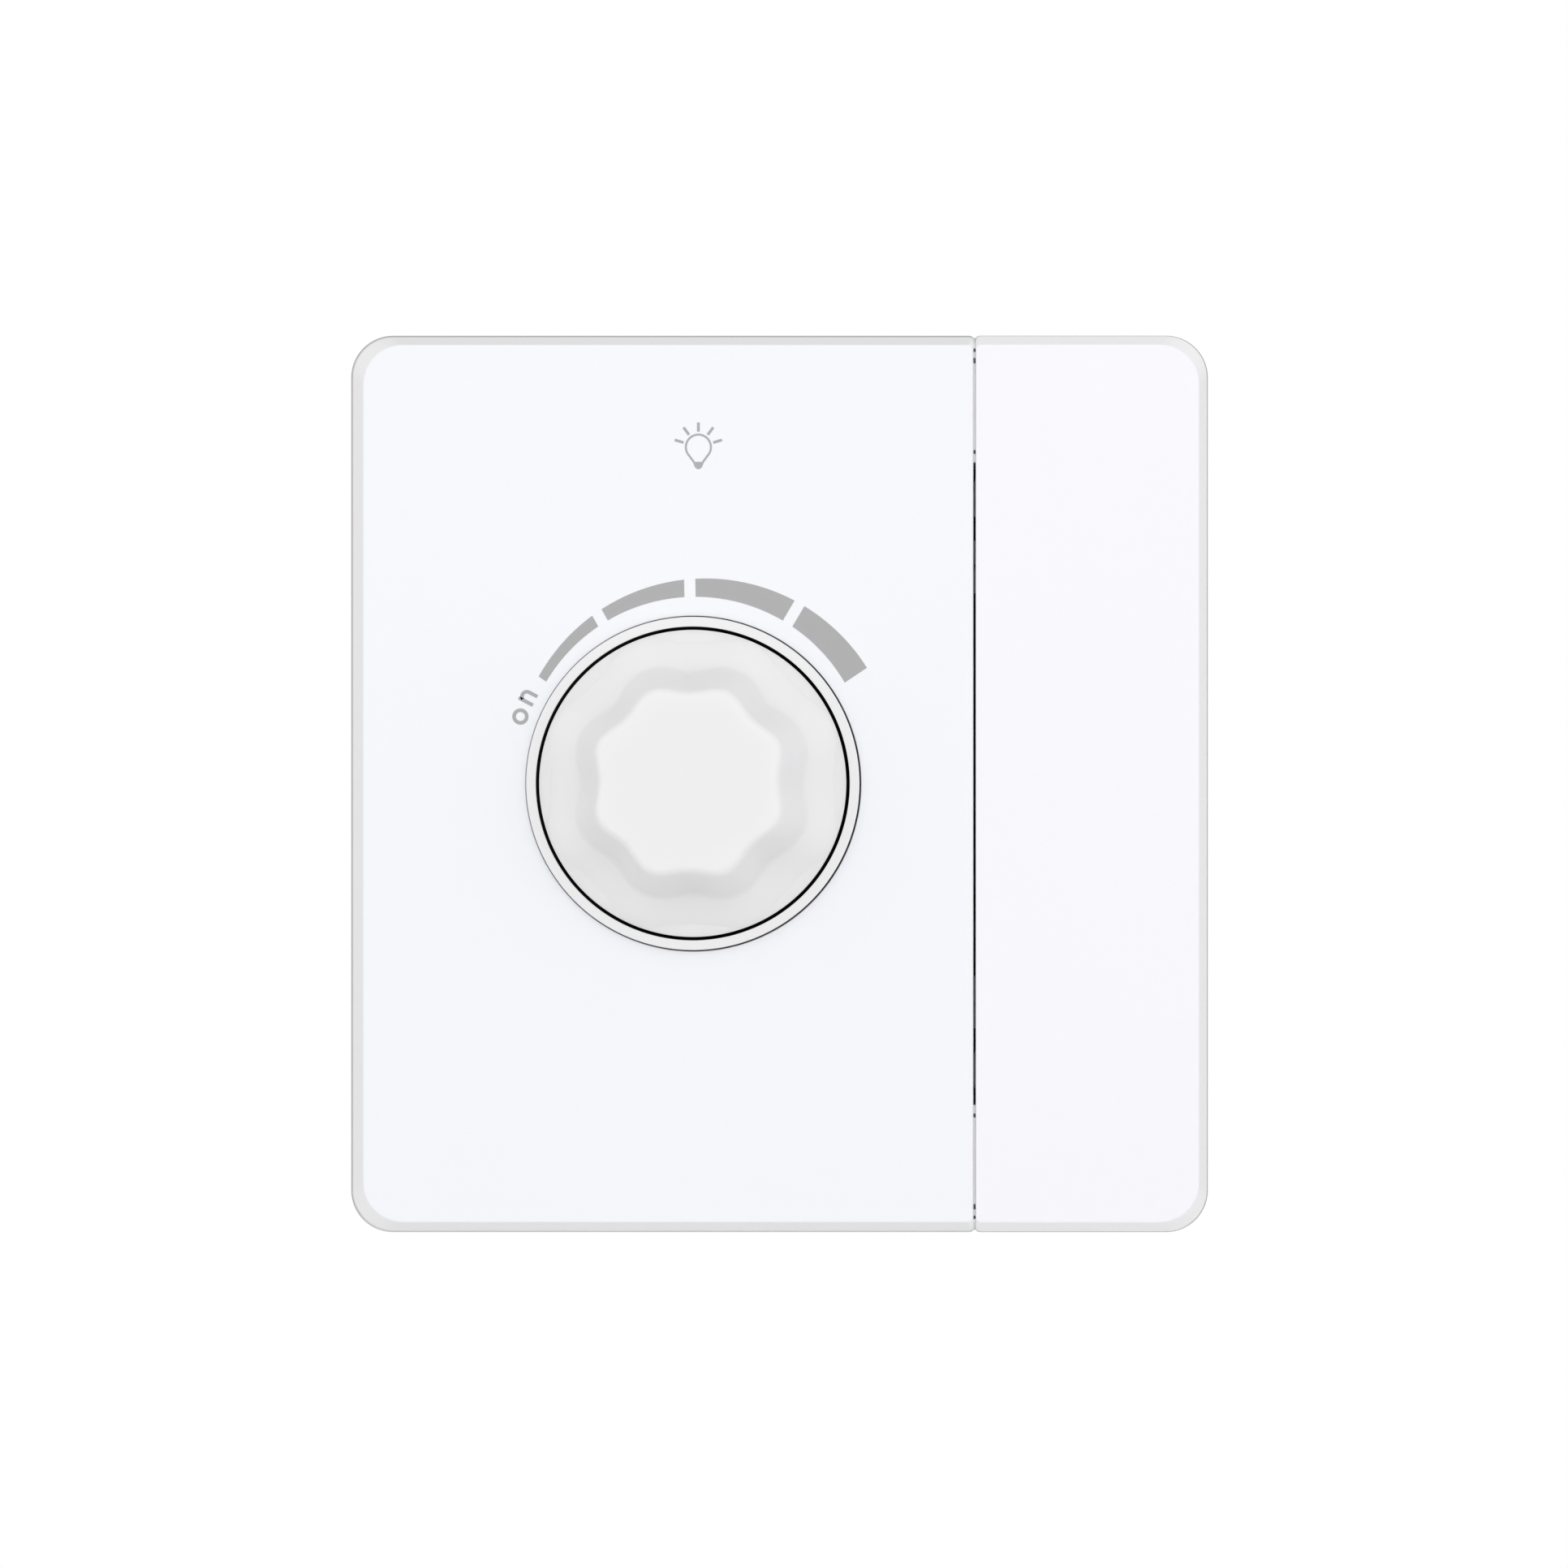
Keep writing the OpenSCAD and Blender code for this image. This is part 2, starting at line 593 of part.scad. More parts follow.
module wiper_spring() on_wall() color("goldenrod") at_knob() {
    block(4.6, 6.6, -3.4, 2.6, -3.2, -3);
    translate([6, -3, 0]) rod(0.5, pot_back + 0.17, -3.1);
}

module switch_cam() on_wall() color("ivory") at_knob() {
    tube(4.2, shaft_r, board_top + 1.6, track_back - 1);
    rotate(60) block(4.1, 5.2, -0.8, 0.8, board_top + 1.6, track_back - 1);
}

front_cover();
side_cover();
mounting_frame();
knob_ring();
heat_sink();
wall_screws();
frame_screws();
case_screws();
module_case();
circuit_board();
pot_housing();
pot_bushing();
pot_washer();
pot_nut();
track_board();
resistive_track();
pot_pins();
switch_case();
fixed_contacts();
triac_body();
triac_tab();
triac_pad();
triac_screw();
triac_nut();
choke_core();
choke_winding();
mains_capacitor();
timing_capacitors();
resistors();
diac();
fuse_tube();
fuse_caps();
fuse_clips();
terminal_clamps();
terminal_screws();
knob_cap();
knob_clip();
pot_shaft();
wiper_carrier();
wiper_spring();
switch_cam();
switch_lever();
lever_contact();
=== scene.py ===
import json
import math

import bmesh
import bpy
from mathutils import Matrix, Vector


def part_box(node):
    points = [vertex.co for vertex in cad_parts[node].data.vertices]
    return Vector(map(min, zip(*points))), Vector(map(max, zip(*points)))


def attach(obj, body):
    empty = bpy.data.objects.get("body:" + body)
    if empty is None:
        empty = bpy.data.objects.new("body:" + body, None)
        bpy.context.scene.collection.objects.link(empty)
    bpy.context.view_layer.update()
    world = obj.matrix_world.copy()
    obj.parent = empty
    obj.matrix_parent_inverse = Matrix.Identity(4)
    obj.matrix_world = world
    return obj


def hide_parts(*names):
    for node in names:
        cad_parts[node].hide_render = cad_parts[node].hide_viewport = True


# Rotary dimmer plate. The front faces -Y and the wall is at y = 0.
# Shapes are drawn in millimetres: x to the right, z up, h out of the wall (so y = -h).
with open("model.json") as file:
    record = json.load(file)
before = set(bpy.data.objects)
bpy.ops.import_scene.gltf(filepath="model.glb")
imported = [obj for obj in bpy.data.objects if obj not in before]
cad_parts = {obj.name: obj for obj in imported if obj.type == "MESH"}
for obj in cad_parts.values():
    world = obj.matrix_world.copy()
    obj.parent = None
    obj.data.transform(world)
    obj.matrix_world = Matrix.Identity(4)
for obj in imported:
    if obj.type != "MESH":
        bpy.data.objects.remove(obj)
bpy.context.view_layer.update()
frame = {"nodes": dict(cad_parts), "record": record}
mm = 0.001
past = 1  # how far a cutting shape reaches past what it cuts, in mm
roundSteps = 256  # sides of the cover's hole and of the ring


def cadRange(node):
    # a node's lowest and highest x, h and z, in mm
    lo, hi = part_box(node)
    return {"x": (lo.x / mm, hi.x / mm), "h": (-hi.y / mm, -lo.y / mm), "z": (lo.z / mm, hi.z / mm)}


coverBox, stripBox = cadRange("front_cover"), cadRange("side_cover")
ringBox, knobBox = cadRange("knob_ring"), cadRange("knob_cap")
sinkBox, caseBox = cadRange("heat_sink"), cadRange("module_case")
screwBox = cadRange("wall_screws")
knobX = sum(knobBox["x"]) / 2
plateTop = coverBox["z"][1]
frontH = coverBox["h"][1]
print("frame loaded:", len(frame["nodes"]), "nodes")


class Value:
    # a socket that sums and products can be written with
    def __init__(self, tree, socket):
        self.tree, self.socket = tree, socket

    def maths(self, operation, *terms):
        return addNode(self.tree, "ShaderNodeMath", {"operation": operation}, dict(enumerate(terms)))

    def __add__(self, other):
        return self.maths("ADD", self, other)

    def __sub__(self, other):
        return self.maths("SUBTRACT", self, other)

    def __rsub__(self, other):
        return self.maths("SUBTRACT", other, self)

    def __mul__(self, other):
        return self.maths("MULTIPLY", self, other)

    __radd__, __rmul__ = __add__, __mul__

    def part(self, axis):
        # one number of a vector
        return addNode(self.tree, "ShaderNodeSeparateXYZ", None, {"Vector": self}, axis)

    def clamped(self):
        return self.maths("MINIMUM", self.maths("MAXIMUM", self, 0.0), 1.0)


def addNode(tree, kind, settings=None, sockets=None, out=0):
    # any node: its settings, then its sockets by name or number; gives back one of its outputs
    made = tree.nodes.new(kind)
    for name, setting in (settings or {}).items():
        setattr(made, name, setting)
    for name, term in (sockets or {}).items():
        if isinstance(term, Value):
            tree.links.new(term.socket, made.inputs[name])
        else:
            made.inputs[name].default_value = term
    return Value(tree, made.outputs[out] if made.outputs else None)


def dimmed(colour, share):
    return tuple(c * share for c in colour[:3]) + (1,)


class Finish:
    # one material, and the sums that its grain is made of
    def __init__(self, name):
        self.material = bpy.data.materials.new(name)
        self.material.use_nodes = True
        self.tree = self.material.node_tree
        self.tree.nodes.clear()
        self.place = self.node("ShaderNodeTexCoord", None, None, "Object")

    def node(self, *made):
        return addNode(self.tree, *made)

    def noise(self, size, detail=2.0, rough=0.5, place=None):
        # grain of about `size` mm
        sockets = {"Vector": place or self.place, "Scale": 1 / (size * mm),
                   "Detail": detail, "Roughness": rough}
        return self.node("ShaderNodeTexNoise", {"noise_dimensions": "3D"}, sockets, "Fac")

    def stretched(self, scale):
        return self.node("ShaderNodeMapping", {}, {"Vector": self.place, "Scale": scale})

    def blend(self, mask, low, high):
        # two colours mixed; the Mix node's colour sockets are numbers 6, 7 and 2
        return self.node("ShaderNodeMix", {"data_type": "RGBA"}, {0: mask, 6: low, 7: high}, 2)

    def bump(self, height, depth, strength=1.0):
        # depth in mm
        sockets = {"Height": height, "Distance": depth * mm, "Strength": strength}
        return self.node("ShaderNodeBump", {}, sockets, "Normal")

    def surface(self, colour, roughness, normal=None, **fixed):
        # the finished material; fixed values are set on the shader's own sockets, with _ for a space
        sockets = {"Base Color": colour, "Roughness": roughness}
        if normal is not None:
            sockets["Normal"] = normal
        sockets.update({name.replace("_", " "): value for name, value in fixed.items()})
        shader = self.node("ShaderNodeBsdfPrincipled", {}, sockets, "BSDF")
        self.node("ShaderNodeOutputMaterial", {}, {"Surface": shader})
        return self.material


def mouldedPlastic(name, colour, roughness=0.36, grain=0.35, grainDepth=0.0016, drift=0.012,
                   sides=(), **fixed):
    # moulded plastic: slow drift of tone, fine satin grain, faint flow marks, and bands painted by height
    # (the covers use these for painted shade)
    finish = Finish(name)
    slow = finish.noise(14, 3.0)
    fine = finish.noise(grain, 3.0, 0.6)
    flow = finish.noise(5, 2.0, 0.5, finish.stretched((1, 1, 0.25)))
    tone = finish.blend(slow * 0.7 + flow * 0.3, dimmed(colour, 1 - drift), colour)
    for top, fade, paintedBandColour in sides:
        # a painted band from the height `top` down, fully there `fade` further down, in mm; on the covers
        # this is painted shade on the walls
        level = finish.place.part(1) * (-1 / mm)
        tone = finish.blend(((level - top) * (1 / fade) + 1).clamped(), paintedBandColour, tone)
    satin = roughness - 0.03 + fine * 0.04 + slow * 0.03
    normal = finish.bump(fine, grainDepth, 0.5)
    return finish.surface(tone, satin, normal, IOR=1.5, **fixed)


def metal(name, colour, roughness=0.28, turned=False, drift=0.08, scuffs=0.3):
    # plated or turned metal: fine machining lines, cloudy tone, small scuffs
    finish = Finish(name)
    cloud = finish.noise(2.2, 3.0)
    lines = finish.noise(0.16, 2.0, 0.6, finish.stretched((0.12, 1, 0.12) if turned else (0.15, 1, 1)))
    scuff = (finish.noise(0.6, 4.0, 0.7) - 0.56) * 5.0
    tone = finish.blend(cloud, dimmed(colour, 1 - drift), colour)
    worn = roughness + cloud * 0.08 + scuff.clamped() * scuffs * 0.3
    return finish.surface(tone, worn, finish.bump(lines, 0.003, 0.4), Metallic=1.0)


def anodised(name, colour, roughness=0.5):
    # rolled sheet with a fine matt grain and faint streaks along it
    finish = Finish(name)
    grain = finish.noise(0.12, 3.0, 0.6)
    rolled = finish.noise(0.5, 2.0, 0.5, finish.stretched((1, 1, 0.05)))
    tone = finish.blend(rolled, dimmed(colour, 0.7), colour)
    return finish.surface(tone, roughness + grain * 0.15, finish.bump(grain, 0.003, 0.5), Metallic=0.4)


def laminate(name, colour, weave=0.5, roughness=0.35):
    # circuit board: woven glass under solder resist, with a few darker tracks
    finish = Finish(name)
    wave = {"Vector": finish.place, "Scale": 1 / (weave * mm) / 6, "Distortion": 0.4}
    warp = finish.node("ShaderNodeTexWave", {"bands_direction": "X"}, wave, "Fac")
    weft = finish.node("ShaderNodeTexWave", {"bands_direction": "Z"}, wave, "Fac")
    cell = finish.node("ShaderNodeTexVoronoi", {"feature": "F1", "distance": "CHEBYCHEV"},
                       {"Vector": finish.place, "Scale": 1 / (5 * mm)}, "Distance")
    track = ((cell - 0.42) * 40.0).clamped()
    tone = finish.blend(track * 0.5 + warp * weft * 0.2, colour, dimmed(colour, 0.55))
    return finish.surface(tone, roughness + warp * 0.08, finish.bump(warp * weft, 0.006, 0.4), IOR=1.5)


def lacquer(name, colour, roughness=0.25, speckle=0.15):
    # dipped or sprayed coat with a slight orange peel
    finish = Finish(name)
    peel = finish.noise(0.45, 2.0)
    spot = finish.noise(0.2, 3.0, 0.7)
    tone = finish.blend(spot, dimmed(colour, 1 - speckle), colour)
    return finish.surface(tone, roughness + peel * 0.1, finish.bump(peel, 0.01, 0.4), IOR=1.5)


def woundCopper(name, colour):
    # turns of enamelled wire side by side round the core
    finish = Finish(name)
    turns = finish.node("ShaderNodeTexWave", {"bands_direction": "X", "wave_profile": "SIN"},
                        {"Vector": finish.place, "Scale": 1 / (0.7 * mm) / 6, "Distortion": 0.6}, "Fac")
    cloud = finish.noise(1.5)
    # painted shade: the tone darkens to under half in the grooves between the turns
    tone = finish.blend(turns * 0.8 + cloud * 0.2, dimmed(colour, 0.45), colour)
    return finish.surface(tone, 0.25 + cloud * 0.1, finish.bump(turns, 0.12, 0.8), Metallic=0.6)


def clearGlass(name):
    # drawn glass with slight swirls
    finish = Finish(name)
    swirl = finish.noise(1.5, 2.0)
    tone = finish.blend(swirl, (0.9, 0.93, 0.93, 1), (0.96, 0.98, 0.98, 1))
    return finish.surface(tone, 0.04 + swirl * 0.04, finish.bump(swirl, 0.01, 0.3),
                          Transmission_Weight=0.9, IOR=1.5)


def printedInk(name, colour):
    # screen-printed ink: a dry, very slightly uneven film
    finish = Finish(name)
    mesh = finish.noise(0.12, 2.0, 0.6)
    cloud = finish.noise(1.2, 3.0)
    tone = finish.blend(cloud * 0.7 + mesh * 0.3, dimmed(colour, 0.965), colour)
    return finish.surface(tone, 0.45 + mesh * 0.1, finish.bump(mesh, 0.0015, 0.4), IOR=1.5)


def outline(x0, x1, z0, z1, rLeft, rRight, steps=10):
    # rectangle with round corners, anticlockwise seen from the front, as (x, z)
    corners = [(x1 - rRight, z1 - rRight, rRight, 0), (x0 + rLeft, z1 - rLeft, rLeft, 90),
               (x0 + rLeft, z0 + rLeft, rLeft, 180), (x1 - rRight, z0 + rRight, rRight, 270)]
    points = []
    for x, z, r, start in corners:
        for i in range(steps + 1):
            a = math.radians(start + 90 * i / steps)
            points.append((x + r * math.cos(a), z + r * math.sin(a)))
    return points


def circle(x, z, r, steps=96):
    # (x, z) points round a circle
    return [(x + r * math.cos(2 * math.pi * i / steps), z + r * math.sin(2 * math.pi * i / steps))
            for i in range(steps)]


def rounded(path, radii, steps=6):
    # an open path with an arc at each inner point; radii are for the inner points
    points = [path[0]]
    for before, corner, after, radius in zip(path, path[1:], path[2:], radii):
        c = Vector(corner)
        u, v = (Vector(before) - c), (Vector(after) - c)
        lengths = u.length, v.length
        u.normalize()
        v.normalize()
        half = math.acos(max(-1, min(1, u.dot(v)))) / 2
        reach = min(radius / math.tan(half), 0.49 * min(lengths)) if half > 1e-6 else 0
        if reach < 1e-6:
            points.append(tuple(c))
            continue
        arc = reach * math.tan(half)
        middle = c + (u + v).normalized() * (arc / math.sin(half))
        start = c + u * reach - middle
        turn = math.pi - 2 * half
        side = 1 if u.x * v.y - u.y * v.x < 0 else -1
        for i in range(steps + 1):
            a = side * turn * i / steps
            points.append((middle.x + start.x * math.cos(a) - start.y * math.sin(a),
                           middle.y + start.x * math.sin(a) + start.y * math.cos(a)))
    return points + [path[-1]]


def at(points, h):
    # (x, z) points at height h, in mm, as places in metres
    return [(x * mm, -h * mm, z * mm) for x, z in points]


def loft(loops, caps=True):
    # closed loops of equal length joined by quads, the two ends filled
    n = len(loops[0])
    verts = [p for loop in loops for p in loop]
    faces = [(k * n + i, k * n + (i + 1) % n, (k + 1) * n + (i + 1) % n, (k + 1) * n + i)
             for k in range(len(loops) - 1) for i in range(n)]
    if caps:
        faces += [tuple(range(n)), tuple(range((len(loops) - 1) * n, len(loops) * n))]
    return verts, faces


def lathe(profile, x, z, steps=128, closed=False):
    # (r, h) profile turned about the line through (x, z) that points out of the wall
    loops = [at(circle(x, z, max(r, 1e-4), steps), h) for r, h in profile]
    verts, faces = loft(loops, caps=not closed)
    if closed:
        last = (len(loops) - 1) * steps
        faces += [(last + i, last + (i + 1) % steps, (i + 1) % steps, i) for i in range(steps)]
    return verts, faces


def makeMesh(name, *shells):
    # one object from shells of places and faces
    mesh = bpy.data.meshes.new(name)
    verts, faces = [], []
    for shellVerts, shellFaces in shells:
        faces += [tuple(i + len(verts) for i in face) for face in shellFaces]
        verts += shellVerts
    mesh.from_pydata(verts, [], faces)
    work = bmesh.new()
    work.from_mesh(mesh)
    bmesh.ops.remove_doubles(work, verts=work.verts, dist=1e-7)
    bmesh.ops.recalc_face_normals(work, faces=work.faces)
    work.to_mesh(mesh)
    work.free()
    made = bpy.data.objects.new(name, mesh)
    bpy.context.scene.collection.objects.link(made)
    return made


def applyModifiers(piece):
    # keeps the shape that the modifiers give
    bpy.context.view_layer.update()
    done = bpy.data.meshes.new_from_object(piece.evaluated_get(bpy.context.evaluated_depsgraph_get()))
    piece.modifiers.clear()
    piece.data = done


def cut(piece, tools, operation="DIFFERENCE"):
    # cuts the tools out of a piece, or joins them to it, and clears them away
    for tool in tools:
        step = piece.modifiers.new("cut", "BOOLEAN")
        step.operation, step.object, step.solver = operation, tool, "EXACT"
    applyModifiers(piece)
    for tool in tools:
        bpy.data.objects.remove(tool)


def smooth(piece, angle=35):
    # round faces shade smooth, flat ones flat
    for face in piece.data.polygons:
        face.use_smooth = True
    work = bmesh.new()
    work.from_mesh(piece.data)
    for edge in work.edges:
        edge.smooth = len(edge.link_faces) == 2 and edge.calc_face_angle(0) < math.radians(angle)
    work.to_mesh(piece.data)
    work.free()
    weigh = piece.modifiers.new("weigh", "WEIGHTED_NORMAL")
    weigh.keep_sharp, weigh.weight = True, 100
    applyModifiers(piece)


def fit(piece, body, slot, material, *replaced):
    # a piece's material, the body that it rides, and the nodes that it stands in for; the slot is not used
    piece.data.materials.clear()
    piece.data.materials.append(material)
    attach(piece, body)
    if replaced:
        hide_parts(*replaced)
    return piece


covers = {
    # each bevel's width, then how far in and how far down its steep outer part ends
    "left": (1.57, 0.03, 1.45), "right": (1.18, 0.3, 0.62),
    "end": (1.28, 0.3, 1.15), "stripEnd": (1.26, 0.22, 0.95),
    "drop": 2.0,  # depth of the bevels
    "rounds": (0.12, 0.06, 0.25),  # softening of a bevel from its outer edge inwards
    "cornerRadius": 4.2, "faceCornerRadius": 3.95, "cornerSteps": 14,
    "faceLip": 0.06,  # narrow flat step between the bevels and the face
    "splitEdges": ((0.06, 0.5), (0.0, 0.12)),  # set back and rounding of the two edges at the split
    "splitCorner": 0.5,
    "splitWall": 0.45,  # height of a cover's edge at the split and at the hole
    "relief": 1.3,  # how far in from that edge the skin is cut away behind
    "skin": 2.0, "skirt": 1.6, "splitSkirt": 1.5, "skirtH": 4.15, "skirtChamfer": 0.15,
    "skirtRound": 0.05, "cavityCorner": 2.6,
    "openReach": 50,  # half the length of the cut that opens the skirt along the split
    "landStart": 32.1, "landEnd": 44.75, "landSink": 0.52, "landFoot": 1.95, "landRoot": 0.3,
    "landPlay": 0.02,
    "landGaps": ((33.15, 0.4), (42.26, 0.55), (43.31, 0.35)),  # each gap's place along the split, its length
    "holeRadius": 16.74, "holeRound": 0.1,
    "pegH": (3.2, 7.3), "pegZ": 38, "pegRadius": 1.55, "pegChamfer": 0.5,
    "coverPegs": (5, 5.12), "stripPegs": (5.32, 4.6),  # in from a cover's left and right side
    "roughness": 0.34,
    "colour": (0.905, 0.92, 0.955, 1),
    "stripColour": (0.93, 0.925, 0.965, 1),
    # painted bands: the bevels a more neutral tint, then the walls below them a painted shade far darker
    # than the face; for each, height of the upper end, fade and colour
    "sides": ((frontH - 0.02, 0.15, (0.922, 0.915, 0.926, 1)), (7.6, 0.5, (0.66, 0.655, 0.665, 1))),
}


def bevelLine(c, side):
    # (inset, height) from the lower edge of the skirt to the flat face
    width, shoulderIn, shoulderDown = c[side]
    foot, chamfer = c["skirtH"], c["skirtChamfer"]
    path = [(chamfer, foot), (0, foot + chamfer), (0, frontH - c["drop"]),
            (shoulderIn, frontH - shoulderDown), (width, frontH),
            (width + 3, frontH)]  # this end only sets the face's direction
    return rounded(path, [c["skirtRound"], *c["rounds"]], 8)[:-1]


def insetAt(line, h):
    # how far in a bevel's line is at height h
    for (inA, hA), (inB, hB) in zip(line[1:], line[2:]):
        if hA <= h <= hB and hB > hA:
            return inA + (inB - inA) * (h - hA) / (hB - hA)
    return line[-1][0] if h >= frontH else 0.0


def splitInset(edge, h):
    # how far the rounded edge beside the split has drawn back at height h
    setBack, r = edge
    rise = max(0.0, h - (frontH - r))
    return setBack + r - math.sqrt(max(r * r - rise * rise, 0.0))


def coverShell(name, c, x0, x1, end, sides):
    # a solid cover; a side that isn't named is the one beside the split
    endLine = bevelLine(c, end)
    lines = [bevelLine(c, side) if side else None for side in sides]
    splitEdge = c["splitEdges"][0 if sides[0] else 1]
    lip = c["faceLip"]
    # one loop for each point of the end bevel's line; the other sides are looked up by height
    loops = []
    for k, (inset, h) in enumerate(endLine + [(endLine[-1][0] + lip, frontH)]):
        last = lip if k == len(endLine) else 0.0
        ins = []
        for line in lines:
            if line:
                ins.append(insetAt(line, h) if k > 1 else inset)
            else:
                ins.append(splitInset(splitEdge, h))
        share = min(inset / c["end"][0], 1)
        r = c["cornerRadius"] + (c["faceCornerRadius"] - c["cornerRadius"]) * share
        corners = [r if line else c["splitCorner"] for line in lines]
        top = plateTop - inset
        edge = outline(x0 + ins[0] + last, x1 - ins[1] - last, -top, top, *corners, c["cornerSteps"])
        loops.append(at(edge, h))
    return makeMesh(name, loft(loops))


def splitRelief(c, edge, side):
    # wedge cut from behind a cover's edge along the open part of the split
    back, foot = frontH - c["skin"], frontH - c["splitWall"]
    inner = edge - side * c["relief"]
    outer = edge + side * past
    wedge = [(outer, foot), (outer, back - past), (inner, back - past), (inner, back), (edge, foot)]
    loops = [[(x * mm, -h * mm, z * mm) for x, h in wedge] for z in (-c["landStart"], c["landStart"])]
    return makeMesh("relief", loft(loops))


def splitLands(c, edge, gap):
    # thin lands that keep the covers apart at the ends of the split, just below the face
    stops = [c["landStart"]]
    for place, length in c["landGaps"]:
        stops += [place - length / 2, place + length / 2]
    stops.append(c["landEnd"])
    low, high = frontH - c["landFoot"], frontH - c["landSink"]
    # towards the plate's edge the lands slope with the bevel
    width, shoulderIn, shoulderDown = c["end"]
    bevelStart, slope = plateTop - width, shoulderDown / (width - shoulderIn)
    shells = []
    for a, b in zip(stops[::2], stops[1::2]):
        crown = [z for z in (a, bevelStart, b) if a <= z <= b]
        line = [(a, low)] + [(z, high - max(0, z - bevelStart) * slope) for z in crown] + [(b, low)]
        for s in (-1, 1):
            shells.append(loft([[(x * mm, -h * mm, s * z * mm) for z, h in line]
                                for x in (edge - c["landRoot"], edge + gap - c["landPlay"])]))
    return makeMesh("lands", *shells)


def cavity(c, x0, x1, leftOpen, rightOpen):
    # the hollow behind a cover, open at the side beside the split
    a = x0 - past if leftOpen else x0 + c["skirt"]
    b = x1 + past if rightOpen else x1 - c["skirt"]
    top, r = plateTop - c["skirt"], c["cavityCorner"]
    loops = [at(outline(a, b, -top, top, r, r), h) for h in (c["skirtH"] - past, frontH - c["skin"])]
    return makeMesh("cavity", loft(loops))


def slab(x0, x1, z0, z1, h0, h1, r=0.0):
    # flat block, its upright edges round when r is given
    return loft([at(outline(x0, x1, z0, z1, r, r, 6 if r else 1), h) for h in (h0, h1)])


def splitOpening(c, a, b):
    # opens the skirt along the whole split
    reach = c["openReach"]
    return makeMesh("opening", slab(a, b, -reach, reach, c["skirtH"] - past, frontH - c["skin"]))


def pegs(c, xs):
    # locating pegs behind a cover, chamfered at their tips
    (low, high), r = c["pegH"], c["pegRadius"]
    line = rounded([(0, low), (r, low), (r, high), (0, high)], [c["pegChamfer"], 0.01])
    return makeMesh("pegs", *[lathe(line, x, s * c["pegZ"], 40) for x in xs for s in (-1, 1)])


def coverHole(c):
    # the round hole for the ring, its edge rounded in front and relieved behind
    r, e, back = c["holeRadius"], c["holeRound"], c["holeRadius"] + c["relief"]
    behind = [(back, 0), (back, frontH - c["skin"]), (r, frontH - c["splitWall"])]
    mouth = [(r + e - e * math.cos(t * math.pi / 12), frontH - e + e * math.sin(t * math.pi / 12))
             for t in range(7)]
    return makeMesh("hole", lathe(behind + mouth + [(r + e, frontH + past)], knobX, 0, roundSteps))


def makeFrontCover(c, material):
    # the wide cover with the knob's hole; it carries the lands in the split
    x0, x1 = coverBox["x"]
    left, right = c["coverPegs"]
    cover = coverShell("frontCover", c, x0, x1, "end", ("left", None))
    opening = splitOpening(c, x1 - c["splitSkirt"], x1 + past)
    cut(cover, [cavity(c, x0, x1, False, True), opening, coverHole(c), splitRelief(c, x1, 1)])
    cut(cover, [splitLands(c, x1, stripBox["x"][0] - x1), pegs(c, (x0 + left, x1 - right))], "UNION")
    smooth(cover)
    return fit(cover, "front_cover", "cover_plastic", material, "front_cover")


def makeSideCover(c, material):
    # the narrow plain cover
    x0, x1 = stripBox["x"]
    left, right = c["stripPegs"]
    cover = coverShell("sideCover", c, x0, x1, "stripEnd", (None, "right"))
    opening = splitOpening(c, x0 - past, x0 + c["splitSkirt"])
    cut(cover, [cavity(c, x0, x1, True, False), opening, splitRelief(c, x0, -1)])
    cut(cover, [pegs(c, (x0 + left, x1 - right))], "UNION")
    smooth(cover)
    return fit(cover, "side_cover", "cover_plastic", material, "side_cover")


# both covers carry the painted shade on their walls from covers["sides"]
coverPlastic = mouldedPlastic("coverPlastic", covers["colour"], covers["roughness"],
                              sides=covers["sides"])
stripPlastic = mouldedPlastic("stripPlastic", covers["stripColour"], covers["roughness"],
                              sides=covers["sides"])
makeFrontCover(covers, coverPlastic)
makeSideCover(covers, stripPlastic)
print("covers made")


ring = {
    "outer": 16.57, "inner": 15.6, "outerRound": 0.1, "innerRound": 0.07,
    "flange": 17.57, "flangeH": 1.1, "flangeRounds": (0.05, 0.15, 0.15, 0.1),
    "roughness": 0.34,
    "colour": (0.85, 0.845, 0.85, 1),
}


def makeRing(r, material, boreShadeMaterial):
    # narrow ring round the knob, on a flange behind the cover
    foot, top = sinkBox["h"][1], ringBox["h"][1]
    inner, outer, flange = r["inner"], r["outer"], r["flange"]
    step, middle = foot + r["flangeH"], (foot + top) / 2
    path = [(inner, middle), (inner, foot), (flange, foot), (flange, step), (outer, step), (outer, top),
            (inner, top), (inner, middle)]
    profile = rounded(path, [*r["flangeRounds"], r["outerRound"], r["innerRound"]])
    piece = makeMesh("knobRing", lathe(profile[:-1], knobX, 0, roundSteps, closed=True))
    smooth(piece)
    fit(piece, "frame", "cover_plastic", material, "knob_ring")
    # the bore is painted black up to its rounded edge: painted shade, so that the groove round the knob
    # reads as deep shadow
    piece.data.materials.append(boreShadeMaterial)
    for face in piece.data.polygons:
        x, y, z = face.center / mm
        if math.hypot(x - knobX, z) < inner + 0.01 and -y < top - r["innerRound"]:
            face.material_index = 1
    return piece


